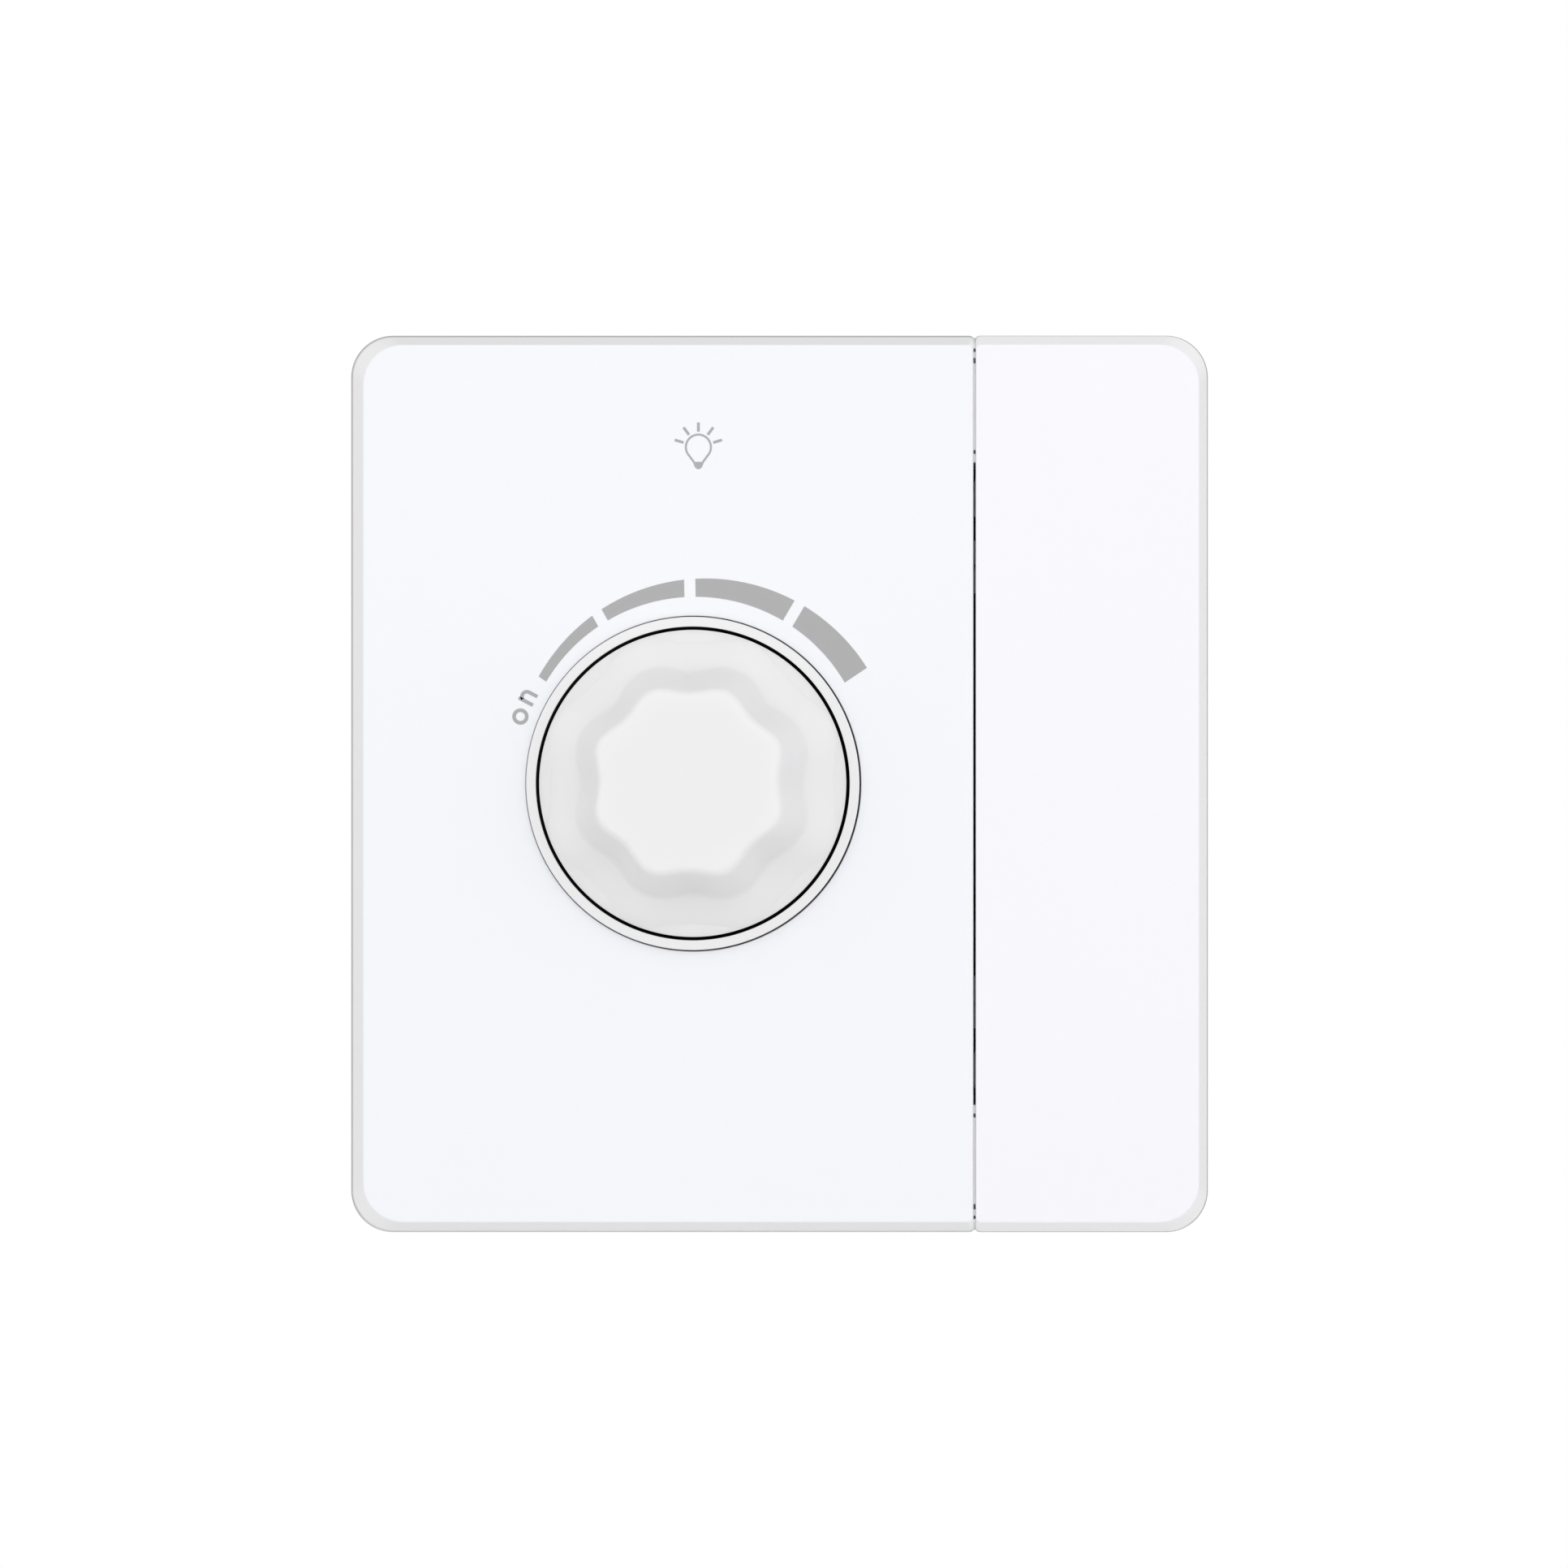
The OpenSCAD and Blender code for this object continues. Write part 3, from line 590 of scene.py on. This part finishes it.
knob = {
    "radius": 15.26, "rimH": 10.1, "rimRound": 0.08,
    "lobes": 8,
    # mean radius, how far the lobes swing it, and their shape (below 0 they are broader than the hollows)
    "top": (9.05, 0.42, 0.06),  # edge of the top face
    "foot": (11.4, 0.55, -0.12), "footRise": 1.55,  # where the grip rises from the skirt
    "skirt": (14.55, 0.6, 0.12),  # where the skirt meets the flat rim
    "topRound": 0.95, "footRound": 1.2, "skirtRound": 0.2,
    "topRings": (0.3, 0.6, 0.85, 0.96),  # rings of faces across the top, as shares of its radius
    # the hollow underside, from the outer wall inwards: radii, and depths below the rim or the top
    "wall": 13.9, "wallDown": 1.3, "web": 8.2, "webDown": 0.3, "roof": 6.6, "roofDown": 2.4,
    "hub": 5, "hubH": 8.3, "bore": 3.05, "boreDown": 3, "underRound": 0.1,
    "roughness": 0.38,
    "colour": (0.86, 0.855, 0.86, 1),
}


def knobLine(k, turn):
    # (r, h) from the middle of the top to the middle of the hollow underside, for one lobe phase
    (bottom, top), rim = knobBox["h"], k["rimH"]
    rTop, rFoot, rSkirt = (mean + swing * (crest * math.cos(2 * turn) - math.cos(turn))
                           for mean, swing, crest in (k["top"], k["foot"], k["skirt"]))
    roof, bore = top - k["roofDown"], top - k["boreDown"]
    path = [(0, top), (rTop, top), (rFoot, rim + k["footRise"]), (rSkirt, rim), (k["radius"], rim),
            (k["radius"], bottom), (k["wall"], bottom), (k["wall"], rim - k["wallDown"]),
            (k["web"], rim - k["webDown"]), (k["roof"], roof), (k["hub"], roof), (k["hub"], k["hubH"]),
            (k["bore"], k["hubH"]), (k["bore"], bore), (0, bore)]
    radii = [k["topRound"], k["footRound"], k["skirtRound"], k["rimRound"]] + [k["underRound"]] * 9
    line = rounded(path, radii, 8)
    inner = [(line[1][0] * s, top) for s in k["topRings"]]
    return [(0.0, top)] + inner + line[1:]


def makeKnob(k, material, steps=384):
    # scalloped grip, sloping skirt and flat rim, hollow behind with a hub for the shaft
    lines = [knobLine(k, k["lobes"] * 2 * math.pi * i / steps) for i in range(steps)]
    loops = []
    for rings in zip(*lines):
        loop = []
        for i, (r, h) in enumerate(rings):
            a = 2 * math.pi * i / steps
            loop.append(((knobX + r * math.cos(a)) * mm, -h * mm, r * math.sin(a) * mm))
        loops.append(loop)
    piece = makeMesh("knobCap", loft(loops, caps=False))
    smooth(piece, 50)
    return fit(piece, "knob", "knob_plastic", material, "knob_cap")


ringPlastic = mouldedPlastic("ringPlastic", ring["colour"], ring["roughness"])
knobPlastic = mouldedPlastic("knobPlastic", knob["colour"], knob["roughness"], Subsurface_Weight=0.6,
                             Subsurface_Scale=1.5 * mm, Subsurface_Radius=(1, 1, 1))
# painted shade: near-black material for the ring's bore, standing in for the deep shadow of the groove round
# the knob
boreShadePaint = mouldedPlastic("boreShadePaint", (0.012, 0.012, 0.012, 1), 0.9, 0.08, 0.02, 0.3)  # lines the bore
makeRing(ring, ringPlastic, boreShadePaint)
makeKnob(knob, knobPlastic)
print("ring and knob made")


marks = {
    "thickness": 0.02, "sunk": 0.02,  # how far the ink stands proud, and its hidden depth
    # the scale lies between two circles; its ends and breaks are angles about the knob
    "innerCentre": (-8.36, 1.36), "innerRadius": 17.27,
    "outerCentre": (-7.34, 1.43), "outerRadius": 19.02,
    "ends": (145.3, 33.7), "breaks": (119.4, 91.0, 59.5), "breakWidth": 1.13,
    "colour": (0.42, 0.415, 0.42, 1),
    "bulb": (-8.04, 33.55), "bulbRadius": 1.35, "bulbLine": 0.2, "bulbArc": (222, -42),
    "neckHalf": 0.46, "neckRise": 0.72,
    "bulbFoot": 31.36, "footHalves": (0.55, 0.36, 0.12), "footStep": 0.2,
    "rays": (0, 37, 73), "rayReach": (1.55, 2.46), "rayWidth": 0.27,
    # each letter's middle: distance from the knob's and angle about it
    "letterLine": 0.36, "oCentre": (18.49, 158.8), "oRadius": 0.81,
    "nCentre": (18.59, 152.4), "nHeight": 1.6, "nHalf": 0.48, "nArch": 150,
}


def inkStrip(c, left, right):
    # a printed strip between two equally long lines of (x, z) points
    low, high = frontH - c["sunk"], frontH + c["thickness"]
    n = len(left)
    around = list(left) + list(reversed(right))
    verts = at(around, low) + at(around, high)
    total = 2 * n
    faces = [(i, (i + 1) % total, total + (i + 1) % total, total + i) for i in range(total)]
    for level in (0, total):
        faces += [(level + i, level + i + 1, level + total - 2 - i, level + total - 1 - i)
                  for i in range(n - 1)]
    return verts, faces


def stroke(c, points, width, close=False):
    # a line of even width along (x, z) points
    left, right = [], []
    n = len(points)
    for i, p in enumerate(points):
        a = points[(i - 1) % n] if close or i else p
        b = points[(i + 1) % n] if close or i < n - 1 else p
        along = (Vector(b) - Vector(a)).normalized() * width / 2
        left.append((p[0] - along.y, p[1] + along.x))
        right.append((p[0] + along.y, p[1] - along.x))
    if close:
        left.append(left[0])
        right.append(right[0])
    return inkStrip(c, left, right)


def rayHit(angle, centre, radius, offset=0.0):
    # where a line from the knob's middle at that angle, moved sideways by offset, meets a circle
    a = math.radians(angle)
    along, aside = Vector((math.cos(a), math.sin(a))), Vector((-math.sin(a), math.cos(a)))
    start = Vector((knobX, 0)) + aside * offset - Vector(centre)
    b = start.dot(along)
    reach = -b + math.sqrt(b * b - start.length_squared + radius * radius)
    return tuple(start + Vector(centre) + along * reach)


def scaleSegment(c, start, end, steps=40):
    # the scale between two angles; a break's edges are parallel to its middle line
    def edge(angle, side):
        offset = 0 if angle in c["ends"] else side * c["breakWidth"] / 2
        return [rayHit(angle, c[f"{name}Centre"], c[f"{name}Radius"], offset)
                for name in ("inner", "outer")]

    first, last = edge(start, -1), edge(end, 1)
    lines = []
    for i, name in enumerate(("inner", "outer")):
        centre = Vector(c[f"{name}Centre"])
        a0, a1 = (math.atan2(*(Vector(p[i]) - centre).yx) for p in (first, last))
        lines.append([tuple(centre + c[f"{name}Radius"] * Vector((math.cos(a), math.sin(a))))
                      for a in (a0 + (a1 - a0) * t / steps for t in range(steps + 1))])
    return inkStrip(c, lines[1], lines[0])


def arc(x, z, r, start, end, steps=24):
    # points along part of a circle, between two angles in degrees
    return [(x + r * math.cos(math.radians(start + (end - start) * i / steps)),
             z + r * math.sin(math.radians(start + (end - start) * i / steps))) for i in range(steps + 1)]


def makeBulb(c):
    # a bulb's outline, its cap, and rays around its upper half
    x, z = c["bulb"]
    line, half, foot = c["bulbLine"], c["neckHalf"], c["bulbFoot"]
    neck = foot + c["neckRise"]
    globe = arc(x, z, c["bulbRadius"] - line / 2, *c["bulbArc"], 48)
    body = stroke(c, [(x - half, neck)] + globe + [(x + half, neck)], line)
    heights = (neck, foot + c["footStep"], foot)
    sides = [[(x + s * reach, h) for reach, h in zip(c["footHalves"], heights)] for s in (-1, 1)]
    cap = inkStrip(c, *sides)
    rays = []
    for angle in sorted({s * a for a in c["rays"] for s in (-1, 1)}):
        a = math.radians(90 - angle)
        ends = [(x + d * math.cos(a), z + d * math.sin(a)) for d in c["rayReach"]]
        rays.append(stroke(c, ends, c["rayWidth"]))
    return [body, cap] + rays


def makeLetters(c):
    # two letters, their tops pointing away from the knob
    def place(centre, points):
        radius, angle = centre
        a = math.radians(angle)
        along, up = Vector((math.sin(a), -math.cos(a))), Vector((math.cos(a), math.sin(a)))
        middle = Vector((knobX, 0)) + up * radius
        return [tuple(middle + along * px + up * pz) for px, pz in points]

    line, high, half = c["letterLine"], c["nHeight"], c["nHalf"]
    o = stroke(c, place(c["oCentre"], circle(0, 0, c["oRadius"] - line / 2, 48)), line, close=True)
    stem = stroke(c, place(c["nCentre"], [(-half, -high / 2), (-half, high / 2)]), line)
    crown = arc(0, high / 2 - line / 2 - half, half, 0, c["nArch"], 20)
    arch = stroke(c, place(c["nCentre"], [(half, -high / 2)] + crown), line)
    return [o, stem, arch]


def makeMarks(c, material):
    # the printed marks, which ride on the front cover
    stops = [c["ends"][0], *c["breaks"], c["ends"][1]]
    segments = [scaleSegment(c, a, b) for a, b in zip(stops, stops[1:])]
    printed = (("brightnessScale", segments), ("lampSign", makeBulb(c)), ("onWord", makeLetters(c)))
    for name, shells in printed:
        piece = makeMesh(name, *shells)
        fit(piece, "front_cover", "cover_plastic", material)


makeMarks(marks, printedInk("printedInk", marks["colour"]))
print("marks made")


wallScrew = {
    "x": 30.15, "seatH": 3.5,
    "neck": 1.55, "neckInHead": 0.3, "neckInThread": 0.2,
    "head": 3.4, "dome": 0.75, "headFlat": 2.0, "headRounds": (0.12, 0.45, 1.2),
    "crest": 1.75, "root": 1.38, "pitch": 0.9,
    "flank": 2.6,  # how steep the thread's flanks are
    "coneLength": 1.6, "tip": 0.9, "tipDepth": 0.3,  # the point, and the thread's depth left there
    # the cross: half length and half width of its arms, each with the share left at the floor
    "cross": ((1.9, 0.6), (0.32, 0.7)), "crossDepth": 1.5, "crossOver": 0.2,
}


def threadShell(c, x, steps=32, perTurn=10):
    # screw thread: the radius swings with height and angle, fading out at both ends
    low = screwBox["h"][0]
    rows = math.ceil(-low / c["pitch"] * perTurn)
    loops = []
    for k in range(rows + 1):
        h = low - low * k / rows
        cone = min(1, (h - low) / c["coneLength"])
        full = c["tip"] + (c["crest"] - c["tip"]) * cone
        depth = (c["crest"] - c["root"]) * min(1, -h / c["pitch"], c["tipDepth"] + cone)
        loop = []
        for i in range(steps):
            a = 2 * math.pi * i / steps
            phase = (h / c["pitch"] - i / steps) % 1
            r = full - depth * min(1, abs(phase - 0.5) * c["flank"])
            loop.append(((x + r * math.cos(a)) * mm, -h * mm, r * math.sin(a) * mm))
        loops.append(loop)
    return loft(loops)


def screwCross(c, x, top):
    # the driver's cross, two tapering arms
    reach, half = c["cross"]
    shapes = []
    for (a, shareA), (b, shareB) in ((reach, half), (half, reach)):
        floor = outline(-a * shareA, a * shareA, -b * shareB, b * shareB, 0, 0, 1)
        mouth = outline(-a, a, -b, b, 0, 0, 1)
        loops = [at([(x + u, v) for u, v in points], h)
                 for points, h in ((floor, top - c["crossDepth"]), (mouth, top + c["crossOver"]))]
        shapes.append(makeMesh("cross", loft(loops)))
    return shapes


def makeWallScrews(c, material):
    # two pan-head screws for the wall box
    top, xs = screwBox["h"][1], (-c["x"], c["x"])
    high, low = c["seatH"] + c["neckInHead"], -c["neckInThread"]
    neck = [(0, high), (c["neck"], high), (c["neck"], low), (0, low)]
    head = rounded([(0, c["seatH"]), (c["head"], c["seatH"]), (c["head"], top - c["dome"]),
                    (c["headFlat"], top), (0, top)], c["headRounds"], 8)
    screws = makeMesh("wallScrews", *[threadShell(c, x) for x in xs])
    cut(screws, [makeMesh("neck", *[lathe(neck, x, 0, 48) for x in xs]),
                 makeMesh("head", *[lathe(head, x, 0, 64) for x in xs])], "UNION")
    cut(screws, [arm for x in xs for arm in screwCross(c, x, top)])
    smooth(screws, 40)
    return fit(screws, "frame", "zinc_steel", material, "wall_screws")


case = {
    "corner": 2.0, "backRound": 0.9, "cornerShrink": 0.7, "wall": 1.8, "innerCorner": 1.0,
    "screws": (18.6, 22.1), "boss": 2.6, "hole": 1.6, "holeFloor": -8,
    # x, z and radius of the posts under the circuit board
    "posts": ((10, 22.6, 1.8), (-10, 22.6, 1.8), (6, -22.8, 1.3), (-6, -22.8, 1.3)),
    "postTop": -13.6, "postSunk": 0.4, "postInset": 0.5,
    "wires": (-12, 0, 12), "wireH": -17.5, "wireRadius": 2.4, "wireMouth": 3.0, "wireDeep": 0.9,
    "driverZ": -20, "driverRadius": 2.7, "driverMouth": 3.2,
    "flare": 0.5,  # how much the funnels widen beyond their mouths, and reach past the wall
    "slotPitch": 4.4, "slotHalf": 0.8, "slotEnd": 0.79, "topSlots": (-10, -3), "topSlotOver": 0.6,
    "backSlots": (2, 16), "slotRows": 3,
    # shallow field for the wiring marks, left blank
    "padZ": -10.5, "padHalf": (13, 3.2), "padSunk": 0.3, "padCorner": 0.6,
}


def caseShell(c, steps=8):
    # the solid case, its back edge rounded
    (x0, x1), (z0, z1) = caseBox["x"], caseBox["z"]
    back, front = caseBox["h"]
    e = c["backRound"]
    loops = []
    for k in range(steps + 1):
        a = math.radians(90 * k / steps)
        inset, h = e * (1 - math.sin(a)), back + e * (1 - math.cos(a))
        r = c["corner"] - inset * c["cornerShrink"]
        loops.append(at(outline(x0 + inset, x1 - inset, z0 + inset, z1 - inset, r, r, 8), h))
    loops.append(at(outline(x0, x1, z0, z1, c["corner"], c["corner"], 8), front))
    return makeMesh("moduleCase", loft(loops))


def rods(places, low, high, steps):
    # upright rods at places of x, z and radius
    return [lathe([(0, low), (r, low), (r, high), (0, high)], x, z, steps) for x, z, r in places]


def casePosts(c):
    # screw bosses and board posts, trimmed where they would break through the walls
    (x0, x1), (z0, z1) = caseBox["x"], caseBox["z"]
    back, front = caseBox["h"]
    (bx, bz), e = c["screws"], c["postInset"]
    floor = back + c["wall"] - c["postSunk"]
    bosses = [(s * bx, t * bz, c["boss"]) for s in (-1, 1) for t in (-1, 1)]
    posts = makeMesh("posts", *rods(bosses, floor, front, 40), *rods(c["posts"], floor, c["postTop"], 32))
    kept = makeMesh("kept", slab(x0 + e, x1 - e, z0 + e, z1 - e, back, front, c["corner"]))
    cut(posts, [kept], "INTERSECT")
    return posts


def caseHoles(c):
    # screw holes from the front, driver holes through the back
    back, front = caseBox["h"]
    (bx, bz), e, d = c["screws"], c["flare"], c["driverRadius"]
    inside = back + c["wall"] + e
    screwHoles = [(s * bx, t * bz, c["hole"]) for s in (-1, 1) for t in (-1, 1)]
    funnel = [(0, back - e), (c["driverMouth"] + e, back - e), (d, back + e), (d, inside), (0, inside)]
    return makeMesh("holes", *rods(screwHoles, c["holeFloor"], front + past, 32),
                    *[lathe(funnel, x, c["driverZ"], 40) for x in c["wires"]])


def wireFunnel(c, x, steps=40):
    # a wire's way in through the bottom wall, wide outside
    z0, e = caseBox["z"][0], c["flare"]
    lines = [(c["wireMouth"] + e, z0 - e), (c["wireRadius"], z0 + c["wireDeep"]),
             (c["wireRadius"], z0 + c["wall"] + e)]
    turns = [2 * math.pi * t / steps for t in range(steps)]
    loops = []
    for r, z in lines:
        loops.append([((x + r * math.cos(a)) * mm, -(c["wireH"] + r * math.sin(a)) * mm, z * mm)
                      for a in turns])
    return makeMesh("funnel", loft(loops))


def caseSlots(c):
    # cooling slots through the back and the top wall
    back, z1, w = caseBox["h"][0], caseBox["z"][1], c["wall"]
    half, r = c["slotHalf"], c["slotEnd"]
    slots = []
    for i in range(-c["slotRows"], c["slotRows"] + 1):
        x = i * c["slotPitch"]
        slots.append(slab(x - half, x + half, *c["backSlots"], back - past, back + w + past, r))
        if abs(i) < c["slotRows"]:
            flat = outline(x - half, x + half, *c["topSlots"], r, r, 6)
            slots.append(loft([[(u * mm, -h * mm, z * mm) for u, h in flat]
                               for z in (z1 - w - c["topSlotOver"], z1 + past)]))
    return makeMesh("slots", *slots)


def makeModuleCase(c, material):
    # the tub behind the wall, with its wire openings underneath
    (x0, x1), (z0, z1) = caseBox["x"], caseBox["z"]
    back, front = caseBox["h"]
    w = c["wall"]
    (px, pz), padZ = c["padHalf"], c["padZ"]
    tub = caseShell(c)
    hollow = slab(x0 + w, x1 - w, z0 + w, z1 - w, back + w, front + past, c["innerCorner"])
    cut(tub, [makeMesh("hollow", hollow)])
    cut(tub, [casePosts(c)], "UNION")
    field = slab(-px, px, padZ - pz, padZ + pz, back - past, back + c["padSunk"], c["padCorner"])
    funnels = [wireFunnel(c, x) for x in c["wires"]]
    cut(tub, [caseHoles(c), *funnels, caseSlots(c), makeMesh("field", field)])
    smooth(tub)
    return fit(tub, "frame", "case_plastic", material, "module_case")


casePlastic = mouldedPlastic("casePlastic", (0.72, 0.72, 0.71, 1), 0.5, 0.45, 0.006, 0.05)
zincSteel = metal("zincSteel", (0.62, 0.63, 0.66, 1), 0.3)
makeWallScrews(wallScrew, zincSteel)
makeModuleCase(case, casePlastic)
print("screws and case made")


# one finish for each material slot
# (a plastic's numbers: roughness, size of its grain, depth of its grain, drift of its tone)
finishes = {
    "frame_plastic": mouldedPlastic("framePlastic", (0.8, 0.8, 0.805, 1), 0.45, 0.5, 0.003, 0.03),
    "case_plastic": casePlastic,
    "black_anodised": anodised("blackAnodised", (0.012, 0.012, 0.013, 1)),
    "zinc_steel": zincSteel,
    "tinned": metal("tinned", (0.7, 0.7, 0.69, 1), 0.38),
    "brass": metal("turnedBrass", (0.72, 0.5, 0.22, 1), 0.26, turned=True),
    "shaft_aluminium": metal("shaftAluminium", (0.72, 0.72, 0.73, 1), 0.3, turned=True),
    "pot_steel": metal("potSteel", (0.5, 0.52, 0.53, 1), 0.34),
    "nickel": metal("nickel", (0.68, 0.66, 0.61, 1), 0.18),
    "green_board": laminate("greenBoard", (0.02, 0.13, 0.06, 1)),
    "brown_board": laminate("brownBoard", (0.22, 0.1, 0.04, 1), roughness=0.5),
    "carbon": lacquer("carbonTrack", (0.015, 0.015, 0.015, 1), 0.5),
    "black_plastic": mouldedPlastic("blackPlastic", (0.02, 0.02, 0.022, 1), 0.5, 0.3, 0.006, 0.2),
    "natural_nylon": mouldedPlastic("naturalNylon", (0.7, 0.67, 0.56, 1), 0.42, 0.4, 0.003, 0.05),
    "core_powder": lacquer("corePowder", (0.62, 0.45, 0.06, 1), 0.45, 0.3),
    "enamelled_copper": woundCopper("enamelledCopper", (0.55, 0.2, 0.06, 1)),
    "yellow_film": mouldedPlastic("yellowFilm", (0.72, 0.48, 0.05, 1), 0.4, 0.4, 0.004, 0.06),
    "orange_epoxy": lacquer("orangeEpoxy", (0.58, 0.18, 0.03, 1), 0.18),
    "resistor_lacquer": lacquer("resistorLacquer", (0.55, 0.4, 0.22, 1), 0.35),
    "diac_blue": lacquer("diacBlue", (0.03, 0.08, 0.26, 1), 0.3),
    "fuse_glass": clearGlass("fuseGlass"),
    "silicone_pad": mouldedPlastic("siliconePad", (0.36, 0.36, 0.38, 1), 0.6, 0.2, 0.004, 0.08),
    "cover_plastic": coverPlastic,
    "knob_plastic": knobPlastic,
}
# the CAD nodes take their finishes by slot
slotOf = {part["node"]: part["material_slot"] for part in frame["record"]["subparts"]}
for name, node in frame["nodes"].items():
    for slot in node.material_slots:
        slot.material = finishes[slotOf[name]]
print("finishes set")


studio = {
    "floorZ": -300, "floorRadius": 540, "floorFade": 300, "floorColour": (0.9, 0.9, 0.9, 1),
    # an even glow, more of it at both sides, a lobe towards the front, and a lean up and to the right;
    # `turn` is how sharply the front half of the sky gives way to the dim back half
    "sky": {"even": 0.42, "wide": 0.5, "front": 0.77, "behind": 0.13, "upper": 0.08, "right": 0.04,
            "turn": 8.0},
    "fill": {"place": (0, 900, 0), "target": (0, 0, 0), "size": 300, "power": 6},
    # the camera looks straight at the wall; `span` is the width in view at the height `spanH`
    "cameraX": 7.7, "cameraZ": -5, "cameraH": 300, "aimX": 0.467, "aimZ": -0.02,
    "span": 157.0, "spanH": 7.8,
}


def makeFloor(s):
    # a wide pale floor far below the plate, fading out to its edge
    loops = [[(x * mm, z * mm, -drop) for x, z in circle(0, 0, s["floorRadius"], 128)]
             for drop in (0.0, 0.01)]
    floor = makeMesh("floor", loft(loops))
    floor.location.z = s["floorZ"] * mm
    finish = Finish("paleFloor")
    cloud = finish.noise(60, 3.0)
    tone = finish.blend(cloud, dimmed(s["floorColour"], 0.978), s["floorColour"])
    reach = finish.node("ShaderNodeVectorMath", {"operation": "LENGTH"}, {0: finish.place}, "Value")
    fade = ((s["floorRadius"] * mm - reach) * (1 / (s["floorFade"] * mm))).clamped()
    floor.data.materials.append(finish.surface(tone, 0.7 + cloud * 0.1, Alpha=fade))


def makeWorld(s):
    # lights the plate with a soft sky; the camera itself sees plain white
    world = bpy.data.worlds.new("studio")
    bpy.context.scene.world = world
    world.use_nodes = True
    tree = world.node_tree
    tree.nodes.clear()

    direction = addNode(tree, "ShaderNodeTexCoord", None, None, "Generated")
    x, y, z = (direction.part(axis) for axis in range(3))
    sky = s["sky"]
    front = (y * -1.0).clamped()
    edge = (y * -sky["turn"] + 0.5).clamped()
    glow = x * x * sky["wide"] + (sky["even"] - sky["behind"])
    lean = z * sky["upper"] + x * sky["right"] + 1
    level = (edge * glow + front * sky["front"] + sky["behind"]) * lean
    seen = addNode(tree, "ShaderNodeLightPath", None, None, "Is Camera Ray")
    sockets = {"Color": (1, 1, 1, 1), "Strength": level * (1 - seen) + seen}
    glowing = addNode(tree, "ShaderNodeBackground", None, sockets)
    addNode(tree, "ShaderNodeOutputWorld", None, {"Surface": glowing})


def softLight(name, place, target, size, power):
    # round soft lamp that the camera doesn't see
    lamp = bpy.data.lights.new(name, "AREA")
    lamp.shape, lamp.size, lamp.energy = "DISK", size * mm, power
    held = bpy.data.objects.new(name, lamp)
    held.visible_camera = False
    held.location = Vector(place) * mm
    held.rotation_mode = "QUATERNION"
    held.rotation_quaternion = (Vector(target) * mm - held.location).to_track_quat("-Z", "Y")
    bpy.context.scene.collection.objects.link(held)


def makeCamera(s):
    lens = bpy.data.cameras.new("camera")
    held = bpy.data.objects.new("camera", lens)
    bpy.context.scene.collection.objects.link(held)
    held.location = (s["cameraX"] * mm, -s["cameraH"] * mm, s["cameraZ"] * mm)
    held.rotation_euler = (math.pi / 2, 0, 0)
    lens.sensor_width = 36
    lens.lens = lens.sensor_width * (s["cameraH"] - s["spanH"]) / s["span"]
    lens.shift_x = (s["aimX"] - s["cameraX"]) / s["span"]
    lens.shift_y = (s["aimZ"] - s["cameraZ"]) / s["span"]
    lens.clip_start, lens.clip_end = 0.005, 10
    bpy.context.scene.camera = held


makeFloor(studio)
makeWorld(studio)
softLight("backFill", **studio["fill"])
makeCamera(studio)
bpy.context.scene.view_settings.view_transform = "Standard"
bpy.context.scene.view_settings.look = "None"
print("studio made")
